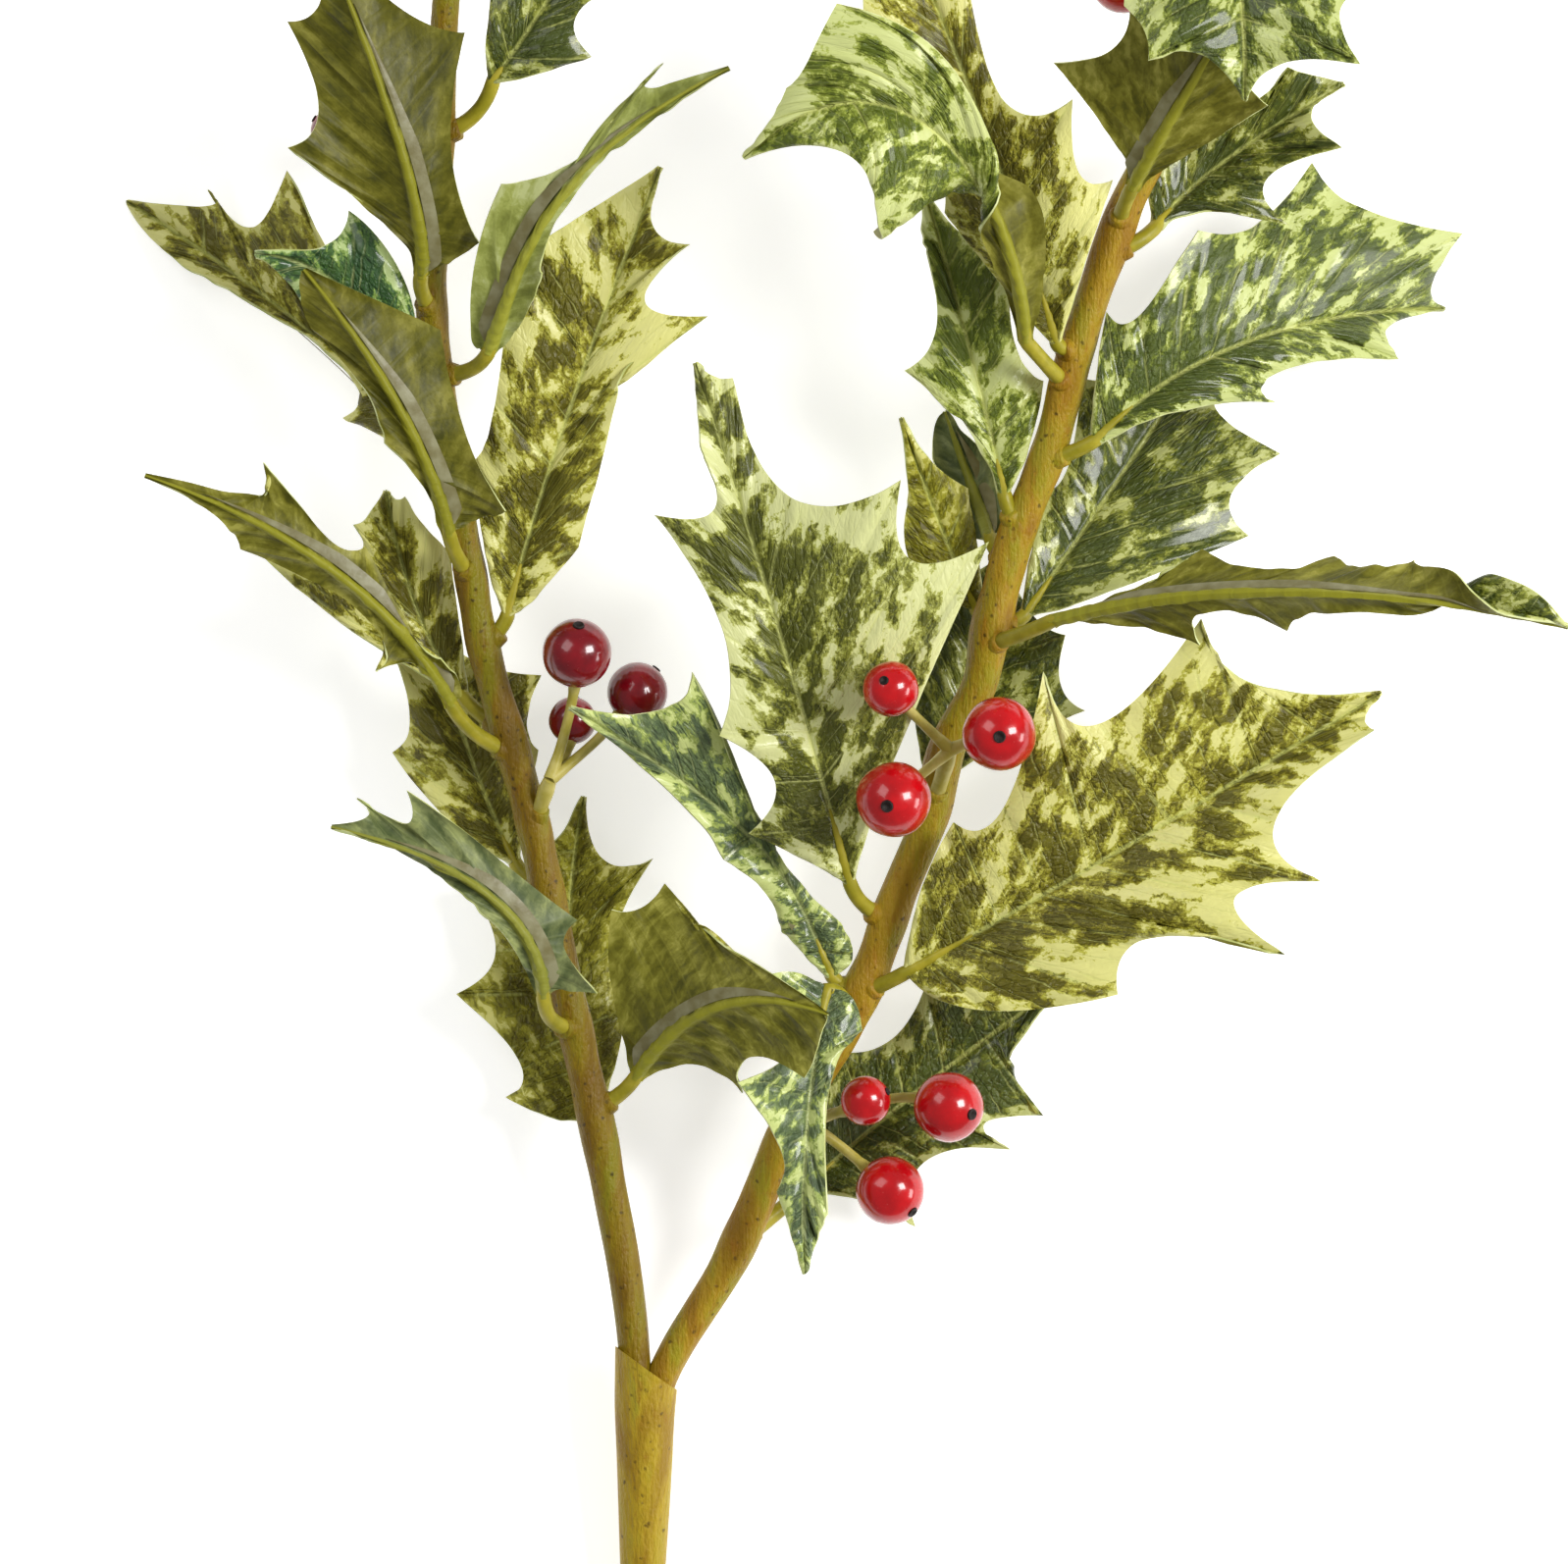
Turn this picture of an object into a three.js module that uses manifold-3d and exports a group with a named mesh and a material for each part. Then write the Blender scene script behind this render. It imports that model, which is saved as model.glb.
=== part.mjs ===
// A cut holly spray lying on a table: a main stem that forks into two leafy branches with berries.
//
// Lengths are millimetres and angles are degrees. The spray lies along +Y, from its cut end to its
// leaf tips, and +Z points up from the table. The plan points below were laid out in the spray's own
// coordinates, and the whole group is moved at the end so that the middle of its base is the origin.

import * as THREE from 'three';
import { mergeVertices } from 'three/addons/utils/BufferGeometryUtils.js';
import Module from 'manifold-3d';

const wasm = await Module();
wasm.setup();

// ---- sizes ---------------------------------------------------------------------------------------

const PLAN_MIDDLE = [7.96, 125.372];    // middle of the spray's outline in plan
const CUT_END_Y = -26;                  // the cut end of the main stem
const CUT_END_HEIGHT = 2.6;             // height of the stem's centre there
const RISE = 0.135;                     // how much the stems climb for each mm along the spray
const SEAT_GAP = 0.3;                   // clearance between a leaf or stalk and the stem it sits on

const STEM_SIDES = 10;
const STEM_STEP = 6.5;                  // length of one straight stretch of stem

const BLADE_THICKNESS = 0.65;
const HALF_SHARES = [0.55, 1];          // columns across half a leaf, as shares of its width
const ROOT_LAG = 1.35;                  // side veins sweep forward: a row starts behind where it ends
const BASE_HALF_WIDTH = 0.9;
const TIP_HALF_WIDTH = 0.35;
const RIB_DEPTH = 0.9;                  // the midrib stands out below the blade by this at its base
const SPINE_WAVE = 1.5;                 // spines turn up and down in turn by this much
const TIP_FADE = 1.5;                   // the wave dies out towards the tip, in shares of a stretch
const FOLD = [20, 20];                  // rise of the left and right half beside the midrib
const CURL = [-28, -28];                // change of that slope from the midrib to the edge

const PETIOLE_RADII = [1.25, 1.0, 1.0, 0.95, 0.4];
const PETIOLE_SIDES = 5;
const PETIOLE_BENDS = 3;                // straight stretches from the branch to the blade
const PETIOLE_LEAD = 0.45;              // it meets the blade in line over this share of its reach
const PETIOLE_UNDER_BLADE = [0.1];      // where it goes on under the blade, along the midrib

const BERRY_SIDES = 10;
const BERRY_RINGS = 6;
const CALYX_RINGS = [[0.16, 0.985], [0.12, 1.05], [0, 1.02]];   // radius and height, in berry radii
const STALK_SIDES = 5;
const STALK_RADII = { trunk: 1.15, hub: 1.0, twig: 0.72, cup: 1.0 };
const TWIG_LEAD = 0.4;                  // a twig meets its berry straight over this share of its reach

// ---- stems ---------------------------------------------------------------------------------------
// Each stem is its centre line in plan; its height follows from RISE. The main stem widens into a
// slanted collar, and the two branches stand in it.

const STEMS = {
  main: {
    plan: [[-20.3, -26], [-19.6, 0], [-19.4, 14], [-19.4, 20], [-19.2, 25], [-19.0, 31]],
    radii: [3.05, 2.9, 3.1, 3.65, 4.15, 4.4],
  },
  left: {
    plan: [
      [-20.4, 21.5], [-21.1, 32], [-22.4, 41], [-24.6, 53.2], [-29, 73.7], [-32.7, 91.8], [-34.4, 100.4],
      [-37, 109.9], [-42, 128.3], [-43.5, 136.9], [-46.6, 154.4], [-48.6, 173.6], [-47.5, 194.9],
      [-46.6, 215.2], [-45, 231], [-44, 239],
    ],
    radii: [2.1, 2.4, 2.35, 2.3, 2.2, 2.1, 2.05, 2.0, 1.9, 1.7],
  },
  right: {
    plan: [
      [-18.3, 20], [-16.9, 25], [-14.6, 29.5], [-12, 33.7], [-8.1, 40.1], [-4.7, 47.1], [-1.6, 54.5],
      [2.7, 64], [7.4, 72.1], [11.2, 79.5], [15.4, 91], [20.1, 102.3], [23.1, 113.7], [26.9, 120.7],
      [28.6, 128.7], [31.7, 140.5], [36.3, 152.4], [40.6, 168.2], [44.6, 180.1], [47.3, 187.5],
      [51.3, 195], [56, 207], [59.5, 217], [62, 229], [63, 241],
    ],
    radii: [2.1, 2.5, 2.5, 2.5, 2.45, 2.4, 2.35, 2.3, 2.1, 1.8],
  },
};
const COLLAR_RIM = { middle: [-19.6, 26.3], slant: -36 };   // the rim's middle in plan, and its slope

// ---- leaves --------------------------------------------------------------------------------------
// A leaf grows from its branch at height `at` along the spray. `midrib` runs from the foot of the
// blade to its tip. `left` and `right` are the edges as plan points, a valley and a spine in turn,
// from foot to tip, on the leaf's own left and right when it is seen from its upper face.
// `roll` turns the leaf about its midrib, from foot to tip: 0 shows its upper face, 180 its
// underside. `twist` says where along the midrib that turn happens, and `knee` bends the petiole.

const LEAVES = [
  {
    name: 'left_leaf_01', branch: 'left', at: 57.5,
    midrib: [[-27.5, 60.5, 9], [-30, 83, 5], [-27.8, 105.6, 8]],
    left: [[-33, 60.8], [-38.8, 63.6], [-37, 68.5], [-45.7, 77.8], [-40.3, 84], [-44.5, 94], [-34, 98]],
    right: [[-23.5, 67], [-22, 76], [-24, 84], [-18, 97.5], [-25, 97]],
    look: 'olive',
  },
  {
    name: 'left_leaf_02', branch: 'left', at: 62,
    midrib: [[-20.5, 66.8, 18], [-9, 76.5, 29], [6, 75.5, 36]],
    left: [[-14, 67.8], [-5.5, 64.6], [-6, 69], [2, 67], [5, 71]],
    right: [[-23.5, 73], [-24.2, 90], [-21, 89.7], [-18.5, 92.8], [-9, 85]],
    roll: [180, 180],
    look: 'olive',
  },
  {
    name: 'left_leaf_03', branch: 'left', at: 73.5,
    midrib: [[-33.3, 78, 25], [-41, 92, 31], [-62.5, 101.4, 32]],
    left: [
      [-30.5, 78.5], [-25.7, 78.7], [-30, 84], [-28.2, 87.8], [-37.5, 95.5], [-52, 106.5],
      [-52, 102], [-59, 105.5], [-57.5, 103],
    ],
    right: [[-36, 82], [-41, 89], [-45, 92.5], [-50, 96.5], [-57, 99.5]],
    roll: [180, 180], knee: [-33, 73.5, 22],
    look: 'grey',
  },
  {
    name: 'left_leaf_04', branch: 'left', at: 92.5,
    midrib: [[-37.3, 96.5, 15], [-43.5, 111, 12], [-49, 129, 11]],
    left: [[-46, 101.5], [-54.5, 111.7], [-52, 116], [-54, 124.5], [-52, 126]],
    right: [[-35.5, 103], [-34, 112], [-35.5, 116], [-33.5, 122.3], [-42, 124]],
    look: 'yellow',
  },
  {
    name: 'left_leaf_05', branch: 'left', at: 111.5,
    midrib: [[-46, 118.3, 28], [-62, 136.5, 36], [-88, 149.8, 38]],
    left: [
      [-44.5, 121], [-47.5, 125], [-51.5, 128.5], [-57.3, 140],
      [-62.5, 141], [-71.6, 151.8], [-73, 147.2],
    ],
    right: [[-50, 123.5], [-56.5, 123], [-57, 129.5], [-74.8, 139.5], [-78, 144]],
    roll: [180, 180],
    look: 'olive',
  },
  {
    name: 'left_leaf_06', branch: 'left', at: 115,
    midrib: [[-44.5, 119.5, 20], [-51, 132, 20], [-55, 148, 24]],
    left: [[-55, 125.2], [-72, 138.6], [-60, 139], [-59.8, 144], [-57.5, 145]],
    right: [[-44.5, 127], [-46, 139], [-49.5, 143], [-52.5, 147.7], [-54, 147]],
    look: 'yellow',
  },
  {
    name: 'left_leaf_07', branch: 'left', at: 126.5,
    midrib: [[-38.2, 131, 24], [-30, 158, 27], [-17, 192.5, 30]],
    left: [[-41.5, 140], [-43, 152], [-40, 160], [-37.5, 180], [-28, 186]],
    right: [
      [-34, 133.5], [-28.3, 140], [-25, 152], [-22.7, 162], [-20, 166], [-10.4, 171.8],
      [-19, 174], [-12.7, 182], [-18, 184.5],
    ],
    look: 'yellow',
  },
  {
    name: 'left_leaf_08', branch: 'left', at: 136,
    midrib: [[-46.3, 142, 32], [-53, 159, 42], [-66, 178, 44]],
    left: [[-41, 143.5], [-38.3, 145.2], [-43.5, 155], [-47, 169.5], [-55, 173.5]],
    right: [[-49, 147], [-55, 154.5], [-57.5, 161], [-65, 170], [-66.5, 174.5]],
    roll: [180, 180],
    look: 'olive',
  },
  {
    name: 'left_leaf_09', branch: 'left', at: 145,
    midrib: [[-47.8, 149, 24], [-63, 167.5, 15], [-91.5, 188.5, 0]],
    left: [[-53, 153.5], [-61.3, 158.2], [-60, 163.5], [-72, 177.5], [-82, 186]],
    right: [[-47.5, 157], [-56, 172], [-61, 178], [-68, 192], [-73, 184.5], [-80, 190.2], [-80, 187.5]],
    look: 'yellow',
  },
  {
    name: 'left_leaf_10', branch: 'left', at: 157.5,
    midrib: [[-52, 166, 31], [-62, 176.5, 33], [-73, 180.5, 34]],
    left: [[-57, 169], [-66, 173], [-70, 178]],
    right: [[-52, 176], [-60, 186.5], [-64, 181.5]],
    look: 'blue',
  },
  {
    name: 'left_leaf_11', branch: 'left', at: 164,
    midrib: [[-40.7, 167, 34], [-36, 179, 41], [-27, 192, 46], [-7.5, 205.6, 47]],
    left: [[-36, 171], [-33, 178], [-32.5, 182], [-26.5, 191.5], [-20, 199]],
    right: [
      [-43.5, 171], [-38.8, 190], [-31.5, 191.5], [-24.5, 196.5],
      [-22, 201], [-16.5, 206.3], [-18.5, 203],
    ],
    roll: [180, 180], knee: [-42.5, 163.5, 31],
    look: 'pale',
  },
  {
    name: 'left_leaf_12', branch: 'left', at: 172.5,
    midrib: [[-50, 177.5, 36], [-52.5, 194, 44], [-63.5, 224, 48]],
    left: [[-46.5, 178.5], [-41.8, 181.8], [-45.5, 194], [-43.6, 210.3], [-52, 213.5]],
    right: [[-55, 184], [-68.3, 194.7], [-64, 199.5], [-68.3, 211.8], [-63.8, 214.5]],
    roll: [180, 180],
    look: 'olive',
  },
  {
    name: 'left_leaf_13', branch: 'left', at: 197,
    midrib: [[-40, 204.5, 36], [-34, 213, 38], [-24, 229, 38]],
    left: [[-41, 209], [-40, 218], [-34, 220], [-33, 228], [-29, 227]],
    right: [[-34.5, 205], [-26.5, 207.4], [-28.5, 213], [-21, 218], [-25, 222]],
    knee: [-41.5, 198.5, 34],
    look: 'dark',
  },
  {
    name: 'left_leaf_14', branch: 'left', at: 222,
    midrib: [[-49.5, 226, 38], [-58, 240, 41], [-68, 257, 38]],
    left: [[-56, 230], [-67, 236], [-66, 243], [-75, 250], [-71, 253]],
    right: [[-50, 233], [-47, 243], [-54, 246], [-57, 258], [-64, 255]],
    look: 'green',
  },
  {
    name: 'left_leaf_15', branch: 'left', at: 236.5,
    midrib: [[-43.5, 241, 39], [-38, 256, 42], [-31, 275, 38]],
    left: [[-46, 248], [-52, 257], [-45, 261], [-45, 272], [-36, 271]],
    right: [[-37, 244], [-26, 248], [-29, 256], [-20, 263], [-27, 268]],
    look: 'yellow',
  },
  {
    name: 'right_leaf_01', branch: 'right', at: 43.5,
    midrib: [[1.5, 50, 9], [21, 66.5, 5.5], [41, 81, 9]],
    left: [[5, 62], [8, 70], [15, 72], [20, 80], [28, 79]],
    right: [[10, 49.5], [18.2, 45.6], [19.5, 54.5], [31.6, 56.4], [28, 60], [36.2, 61], [31, 68]],
    look: 'dark',
  },
  {
    name: 'right_leaf_02', branch: 'right', at: 72.5,
    midrib: [[6, 79, 21], [3.2, 60, 25], [2.8, 39.6, 24]],
    left: [[9.5, 77.5], [11, 73.5], [6.5, 66], [6, 48], [4.5, 44]],
    right: [[0, 81.5], [-7.3, 77], [1, 71], [-6.5, 65.3], [-0.5, 57], [-1, 51], [1, 45]],
    fold: [4, 25], curl: [0, 0], knee: [10.5, 77.5, 20],
    look: 'grey',
  },
  {
    name: 'right_leaf_03', branch: 'right', at: 78.5,
    midrib: [[17, 81.3, 22], [49.5, 100, 28], [82.5, 120, 29]],
    left: [[19.5, 94], [23.6, 102.5], [30.5, 104.5], [36, 123.3], [43.5, 116], [57.5, 130.5], [64.5, 121.5]],
    right: [
      [28, 76], [46.5, 78.2], [51, 86], [69.5, 83.7], [62.5, 91.5],
      [74.3, 93.7], [68, 102], [81.5, 114.7], [80.3, 116.5],
    ],
    knee: [14, 79.5, 20],
    look: 'yellow',
  },
  {
    name: 'right_leaf_04', branch: 'right', at: 79,
    midrib: [[6.5, 81, 17], [1.5, 92, 19], [-8, 103, 22], [-29.5, 117.8, 38]],
    left: [[2.5, 84], [-0.3, 86.8], [-2.5, 92], [-8.6, 97.2], [-19.5, 109.5]],
    right: [[9.5, 84], [8, 88], [-2.5, 100.5], [-14, 123.7], [-18, 118]],
    look: 'grey',
  },
  {
    name: 'right_leaf_05', branch: 'right', at: 88.5,
    midrib: [[9, 94, 22.5], [-1, 129.5, 33], [-12.2, 165.4, 35]],
    left: [
      [4, 96.5], [-5, 100.5], [-1.5, 108], [-9.2, 114.5], [-8.5, 128], [-18, 144.3],
      [-10, 145], [-11.2, 152], [-12, 158.5],
    ],
    right: [[15.5, 112], [28.5, 141], [17.5, 139], [16.3, 149.6], [1, 147.2], [-6.9, 163.3], [-9.8, 163.6]],
    look: 'yellow',
  },
  {
    name: 'right_leaf_06', branch: 'right', at: 110,
    midrib: [[21, 108, 15], [26, 121, 12], [30.5, 139, 12]],
    left: [[18.5, 112], [17.6, 124], [21, 127], [20, 134], [25, 136]],
    right: [[30, 112], [42, 117.4], [38.5, 121], [39.2, 128], [34.5, 131]],
    look: 'dark',
  },
  {
    name: 'right_leaf_07', branch: 'right', at: 126.5,
    midrib: [[37, 129.8, 33], [70, 133.6, 47], [107.5, 128.7, 50]],
    left: [[45, 129], [54.4, 126.4], [57, 131], [67, 128.7], [74, 131], [90, 129.5], [98, 127.6]],
    right: [[47, 134], [55, 139.3], [65, 136.8], [74, 138.6], [79, 137.2], [86, 138], [91.5, 134.5]],
    roll: [180, 330], twist: [0.7, 0.9], fold: [55, 55], curl: [0, 0], knee: [33, 128, 30],
    look: 'olive',
  },
  {
    name: 'right_leaf_08', branch: 'right', at: 129.5,
    midrib: [[33.5, 131, 23], [46, 149, 17], [58, 167, 10]],
    left: [[34, 140], [35.5, 148], [39, 151], [40.5, 163], [48, 163]],
    right: [[45, 133.5], [64.5, 141.5], [61.8, 146.8], [68.3, 152], [60, 158.5], [64, 165], [59.5, 164]],
    look: 'dark',
  },
  {
    name: 'right_leaf_09', branch: 'right', at: 131,
    midrib: [[26.5, 132, 17], [21.5, 143.5, 21], [16.2, 158, 26]],
    left: [[18, 137], [17, 145], [17, 149]],
    right: [[27, 139], [25.5, 148], [20.5, 152]],
    look: 'olive',
  },
  {
    name: 'right_leaf_10', branch: 'right', at: 137.5,
    midrib: [[28.5, 141.5, 20], [25.5, 150, 16], [22.3, 159, 16]],
    left: [[30, 146], [29, 153], [25, 156]],
    right: [[23.5, 144], [21.5, 150], [20.6, 155]],
    roll: [180, 180],
    look: 'grey',
  },
  {
    name: 'right_leaf_11', branch: 'right', at: 142.5,
    midrib: [[30.4, 147.5, 27], [26, 166, 27], [19.5, 189, 30]],
    left: [[25, 157], [16.5, 164.4], [20.8, 170], [19.5, 181], [19, 184]],
    right: [[34, 154], [36, 163], [32, 168], [31, 180], [25, 183]],
    look: 'green',
  },
  {
    name: 'right_leaf_12', branch: 'right', at: 152,
    midrib: [[43, 154.8, 29.5], [64, 168.5, 23], [92, 173.6, 0]],
    left: [
      [42.8, 163], [44.2, 172.6], [48.5, 172], [55.4, 183.3], [64, 184.5],
      [72.7, 193.6], [79, 187], [94, 184], [89.3, 177.5],
    ],
    right: [[54, 158.5], [68.2, 160.2], [67.5, 163.8], [83.7, 166.1], [83.5, 170.5]],
    knee: [40, 153, 29],
    look: 'mid',
  },
  {
    name: 'right_leaf_13', branch: 'right', at: 162.5,
    midrib: [[33.2, 168.5, 37], [27.5, 188, 52], [14, 200, 61], [-5.5, 193, 57]],
    left: [[36, 176], [35.5, 188], [20, 184], [12.8, 182.3], [11.5, 188.5]],
    right: [[29, 178], [24, 187], [27, 198], [7.2, 214], [3.5, 206.5], [0.3, 202.6], [-2, 198]],
    roll: [180, 360], twist: [0.3, 0.6], knee: [36.5, 164.5, 34],
    look: 'green',
  },
  {
    name: 'right_leaf_14', branch: 'right', at: 168,
    midrib: [[37.5, 168.5, 32], [28.5, 195, 40], [16, 226, 44]],
    left: [[30, 176], [22, 186], [20, 196], [12, 206], [11, 218]],
    right: [[41, 178], [45.4, 190.6], [40.5, 192], [39.6, 202], [30, 202], [25, 222], [19, 222]],
    look: 'yellow',
  },
  {
    name: 'right_leaf_15', branch: 'right', at: 180.5,
    midrib: [[51.5, 184.5, 29], [61, 193.5, 25], [77.5, 204, 27]],
    left: [[51, 193], [58, 201], [64, 201], [70, 206.5], [73, 205.5]],
    right: [[58, 186], [70, 184.5], [66.6, 190.5], [77.5, 195.4], [73, 200]],
    look: 'dark',
  },
  {
    name: 'right_leaf_16', branch: 'right', at: 184.5,
    midrib: [[48, 189.5, 39], [54, 200, 48], [62, 213.5, 54]],
    left: [[54, 192.5], [66.5, 200.4], [63, 205], [67, 212], [64, 211]],
    right: [[44.8, 195], [36.8, 206.4], [45, 208], [46.5, 216], [55, 213]],
    roll: [180, 180],
    look: 'olive',
  },
  {
    name: 'right_leaf_17', branch: 'right', at: 226,
    midrib: [[66, 229.5, 40], [76, 240, 41], [90, 252, 36]],
    left: [[65, 238], [65, 247], [72, 247], [75, 257], [82, 252]],
    right: [[74, 230], [85, 229], [83, 237], [95, 241], [89, 247]],
    look: 'yellow',
  },
  {
    name: 'right_leaf_18', branch: 'right', at: 231,
    midrib: [[61, 228, 52], [62.5, 214, 62], [63, 200.8, 60]],
    left: [[72, 224], [79.5, 216], [76, 212], [78.8, 206.3], [68, 206]],
    right: [[50, 222], [46.3, 213.5], [49, 210], [49.5, 206.6], [57, 207]],
    look: 'mid',
  },
  {
    name: 'right_leaf_19', branch: 'right', at: 238.5,
    midrib: [[63, 243.5, 41], [59, 258, 44], [55, 277, 40]],
    left: [[57, 248], [46, 253], [52, 260], [42, 268], [52, 271]],
    right: [[67, 250], [75, 257], [66, 261], [69, 272], [60, 271]],
    look: 'green',
  },
];

// ---- berries -------------------------------------------------------------------------------------
// A cluster's stalk leaves the branch at height `at` and splits at `hub`. Each berry has its middle,
// its radius, and the way its dark calyx faces, which is away from the stalk.

const BERRY_CLUSTERS = [
  {
    name: 'berry_cluster_1', branch: 'right', at: 57.5, hub: [3.4, 60.3, 19],
    berries: [
      { middle: [11.3, 63.5, 24], radius: 3.45, faces: [0.8, 0.35, 0.3] },
      { middle: [22.8, 62.6, 21], radius: 4.85, faces: [0.66, -0.2, 0.72] },
      { middle: [14.7, 51, 20], radius: 4.75, faces: [0.65, -0.62, 0.43] },
    ],
  },
  {
    name: 'berry_cluster_2', branch: 'left', at: 101.5, hub: [-32.3, 108, 25],
    berries: [
      { middle: [-28.6, 125.4, 30], radius: 4.8, faces: [0.06, 0.79, 0.61] },
      { middle: [-29.3, 116.1, 20.5], radius: 3.3, faces: [0.15, 0.95, -0.3] },
      { middle: [-20.3, 120, 21], radius: 4.2, faces: [0.6, 0.75, -0.15] },
    ],
  },
  {
    name: 'berry_cluster_3', branch: 'right', at: 104.5, hub: [23, 112, 29.5],
    berries: [
      { middle: [14.7, 120.4, 41], radius: 3.85, faces: [-0.25, 0.3, 0.92] },
      { middle: [29.6, 114.2, 41], radius: 5.1, faces: [0, -0.08, 1] },
      { middle: [15.1, 105.2, 38], radius: 5.2, faces: [-0.18, -0.18, 0.97] },
    ],
  },
  {
    name: 'berry_cluster_4', branch: 'left', at: 181.5, hub: [-53, 187.5, 25],
    berries: [
      { middle: [-62.2, 197.6, 24], radius: 3.3, faces: [-0.8, 0.5, 0.1] },
      { middle: [-56.5, 203.5, 22], radius: 4.2, faces: [-0.2, 0.95, 0.1] },
      { middle: [-51.5, 197, 17], radius: 4.5, faces: [0.3, 0.6, -0.6] },
    ],
  },
  {
    name: 'berry_cluster_5', branch: 'right', at: 209, hub: [54.5, 214, 35],
    berries: [
      { middle: [46.8, 218.2, 40], radius: 4.9, faces: [-0.7, 0.2, 0.65] },
      { middle: [54, 227, 45], radius: 4.3, faces: [0.1, 0.8, 0.6] },
      { middle: [46, 229, 38], radius: 4.0, faces: [-0.2, 0.8, 0.5] },
    ],
  },
];

// ---- materials -----------------------------------------------------------------------------------

function leafMaterial(colour) {
  return new THREE.MeshStandardMaterial({ color: colour, roughness: 0.38, metalness: 0 });
}

const LEAF_MATERIALS = {
  yellow: leafMaterial(0x9aa03e),
  green: leafMaterial(0x7f8c38),
  mid: leafMaterial(0x78893f),
  blue: leafMaterial(0x51693f),
  dark: leafMaterial(0x4a5426),
  olive: leafMaterial(0x75742a),
  pale: leafMaterial(0x8f9a50),
  grey: leafMaterial(0x6b7650),
};
const stemMaterial = new THREE.MeshStandardMaterial({ color: 0x94802c, roughness: 0.5, metalness: 0 });
const stalkMaterial = new THREE.MeshStandardMaterial({ color: 0xa89a3c, roughness: 0.45, metalness: 0 });
const berryMaterial = new THREE.MeshStandardMaterial({ color: 0xb01218, roughness: 0.15, metalness: 0 });

// ---- small helpers -------------------------------------------------------------------------------

const UP = new THREE.Vector3(0, 0, 1);

function vector(values) {
  return new THREE.Vector3(...values);
}

function between(a, b, share) {
  return a + (b - a) * share;
}

function smoothStep(x) {
  const clamped = Math.min(1, Math.max(0, x));
  return clamped * clamped * (3 - 2 * clamped);
}

// The value of a list of numbers, evenly spaced from 0 to 1, at `share`.
function alongList(values, share) {
  const place = Math.min(Math.max(share, 0), 1) * (values.length - 1);
  const first = Math.min(Math.floor(place), values.length - 2);
  return between(values[first], values[first + 1], place - first);
}

// The point at `t` on the smooth curve through evenly spaced points (Neville's scheme).
function curvePoint(points, t) {
  const row = points.map((point) => point.clone());
  const last = row.length - 1;
  for (let level = 1; level <= last; level += 1) {
    for (let i = 0; i <= last - level; i += 1) {
      const share = (t - i / last) / (level / last);
      row[i].lerp(row[i + 1], share);
    }
  }
  return row[0];
}

function curveDirection(points, t) {
  const step = 0.001;
  return curvePoint(points, t + step).sub(curvePoint(points, t - step)).normalize();
}

// ---- solids --------------------------------------------------------------------------------------

function solidOf(vertices, triangles) {
  const vertProperties = new Float32Array(vertices.flatMap((v) => [v.x, v.y, v.z]));
  const triVerts = new Uint32Array(triangles.flat());
  return new wasm.Manifold(new wasm.Mesh({ numProp: 3, vertProperties, triVerts }));
}

function solidFromGeometry(geometry, matrix) {
  const plain = geometry.clone();
  plain.deleteAttribute('normal');
  plain.deleteAttribute('uv');
  const merged = mergeVertices(plain).applyMatrix4(matrix);
  const vertProperties = new Float32Array(merged.attributes.position.array);
  const triVerts = new Uint32Array(merged.index.array);
  return new wasm.Manifold(new wasm.Mesh({ numProp: 3, vertProperties, triVerts }));
}

function meshOf(name, solid, material) {
  const result = solid.getMesh();
  const geometry = new THREE.BufferGeometry();
  geometry.setAttribute('position', new THREE.BufferAttribute(result.vertProperties, 3));
  geometry.setIndex(new THREE.BufferAttribute(result.triVerts, 1));
  geometry.computeVertexNormals();
  const mesh = new THREE.Mesh(geometry, material);
  mesh.name = name;
  return mesh;
}

// A closed round tube along a list of points, with its own radius at each.
function tubeSolid(points, radii, sides) {
  const vertices = [];
  const triangles = [];
  const last = points.length - 1;
  const directions = points.map((_, i) => {
    const before = points[Math.max(i - 1, 0)];
    const after = points[Math.min(i + 1, last)];
    return after.clone().sub(before).normalize();
  });
  let across = new THREE.Vector3().crossVectors(UP, directions[0]).normalize();
  points.forEach((point, i) => {
    across = across.clone().addScaledVector(directions[i], -across.dot(directions[i])).normalize();
    const above = new THREE.Vector3().crossVectors(directions[i], across);
    for (let side = 0; side < sides; side += 1) {
      const angle = (2 * Math.PI * side) / sides;
      vertices.push(
        point.clone()
          .addScaledVector(across, radii[i] * Math.cos(angle))
          .addScaledVector(above, radii[i] * Math.sin(angle)),
      );
    }
  });
  for (let i = 0; i < last; i += 1) {
    for (let side = 0; side < sides; side += 1) {
      const a = i * sides + side;
      const b = i * sides + ((side + 1) % sides);
      triangles.push([a, b, b + sides], [a, b + sides, a + sides]);
    }
  }
  const start = vertices.push(points[0].clone()) - 1;
  const end = vertices.push(points[last].clone()) - 1;
  for (let side = 0; side < sides; side += 1) {
    const next = (side + 1) % sides;
    triangles.push([next, side, start], [last * sides + side, last * sides + next, end]);
  }
  return solidOf(vertices, triangles);
}

// The largest closed surface of a solid: a cut's loose splinters and sealed pockets are left out.
function largestShell(solid) {
  const shells = solid.decompose();
  return shells.reduce((best, shell) => (shell.volume() > best.volume() ? shell : best));
}

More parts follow.
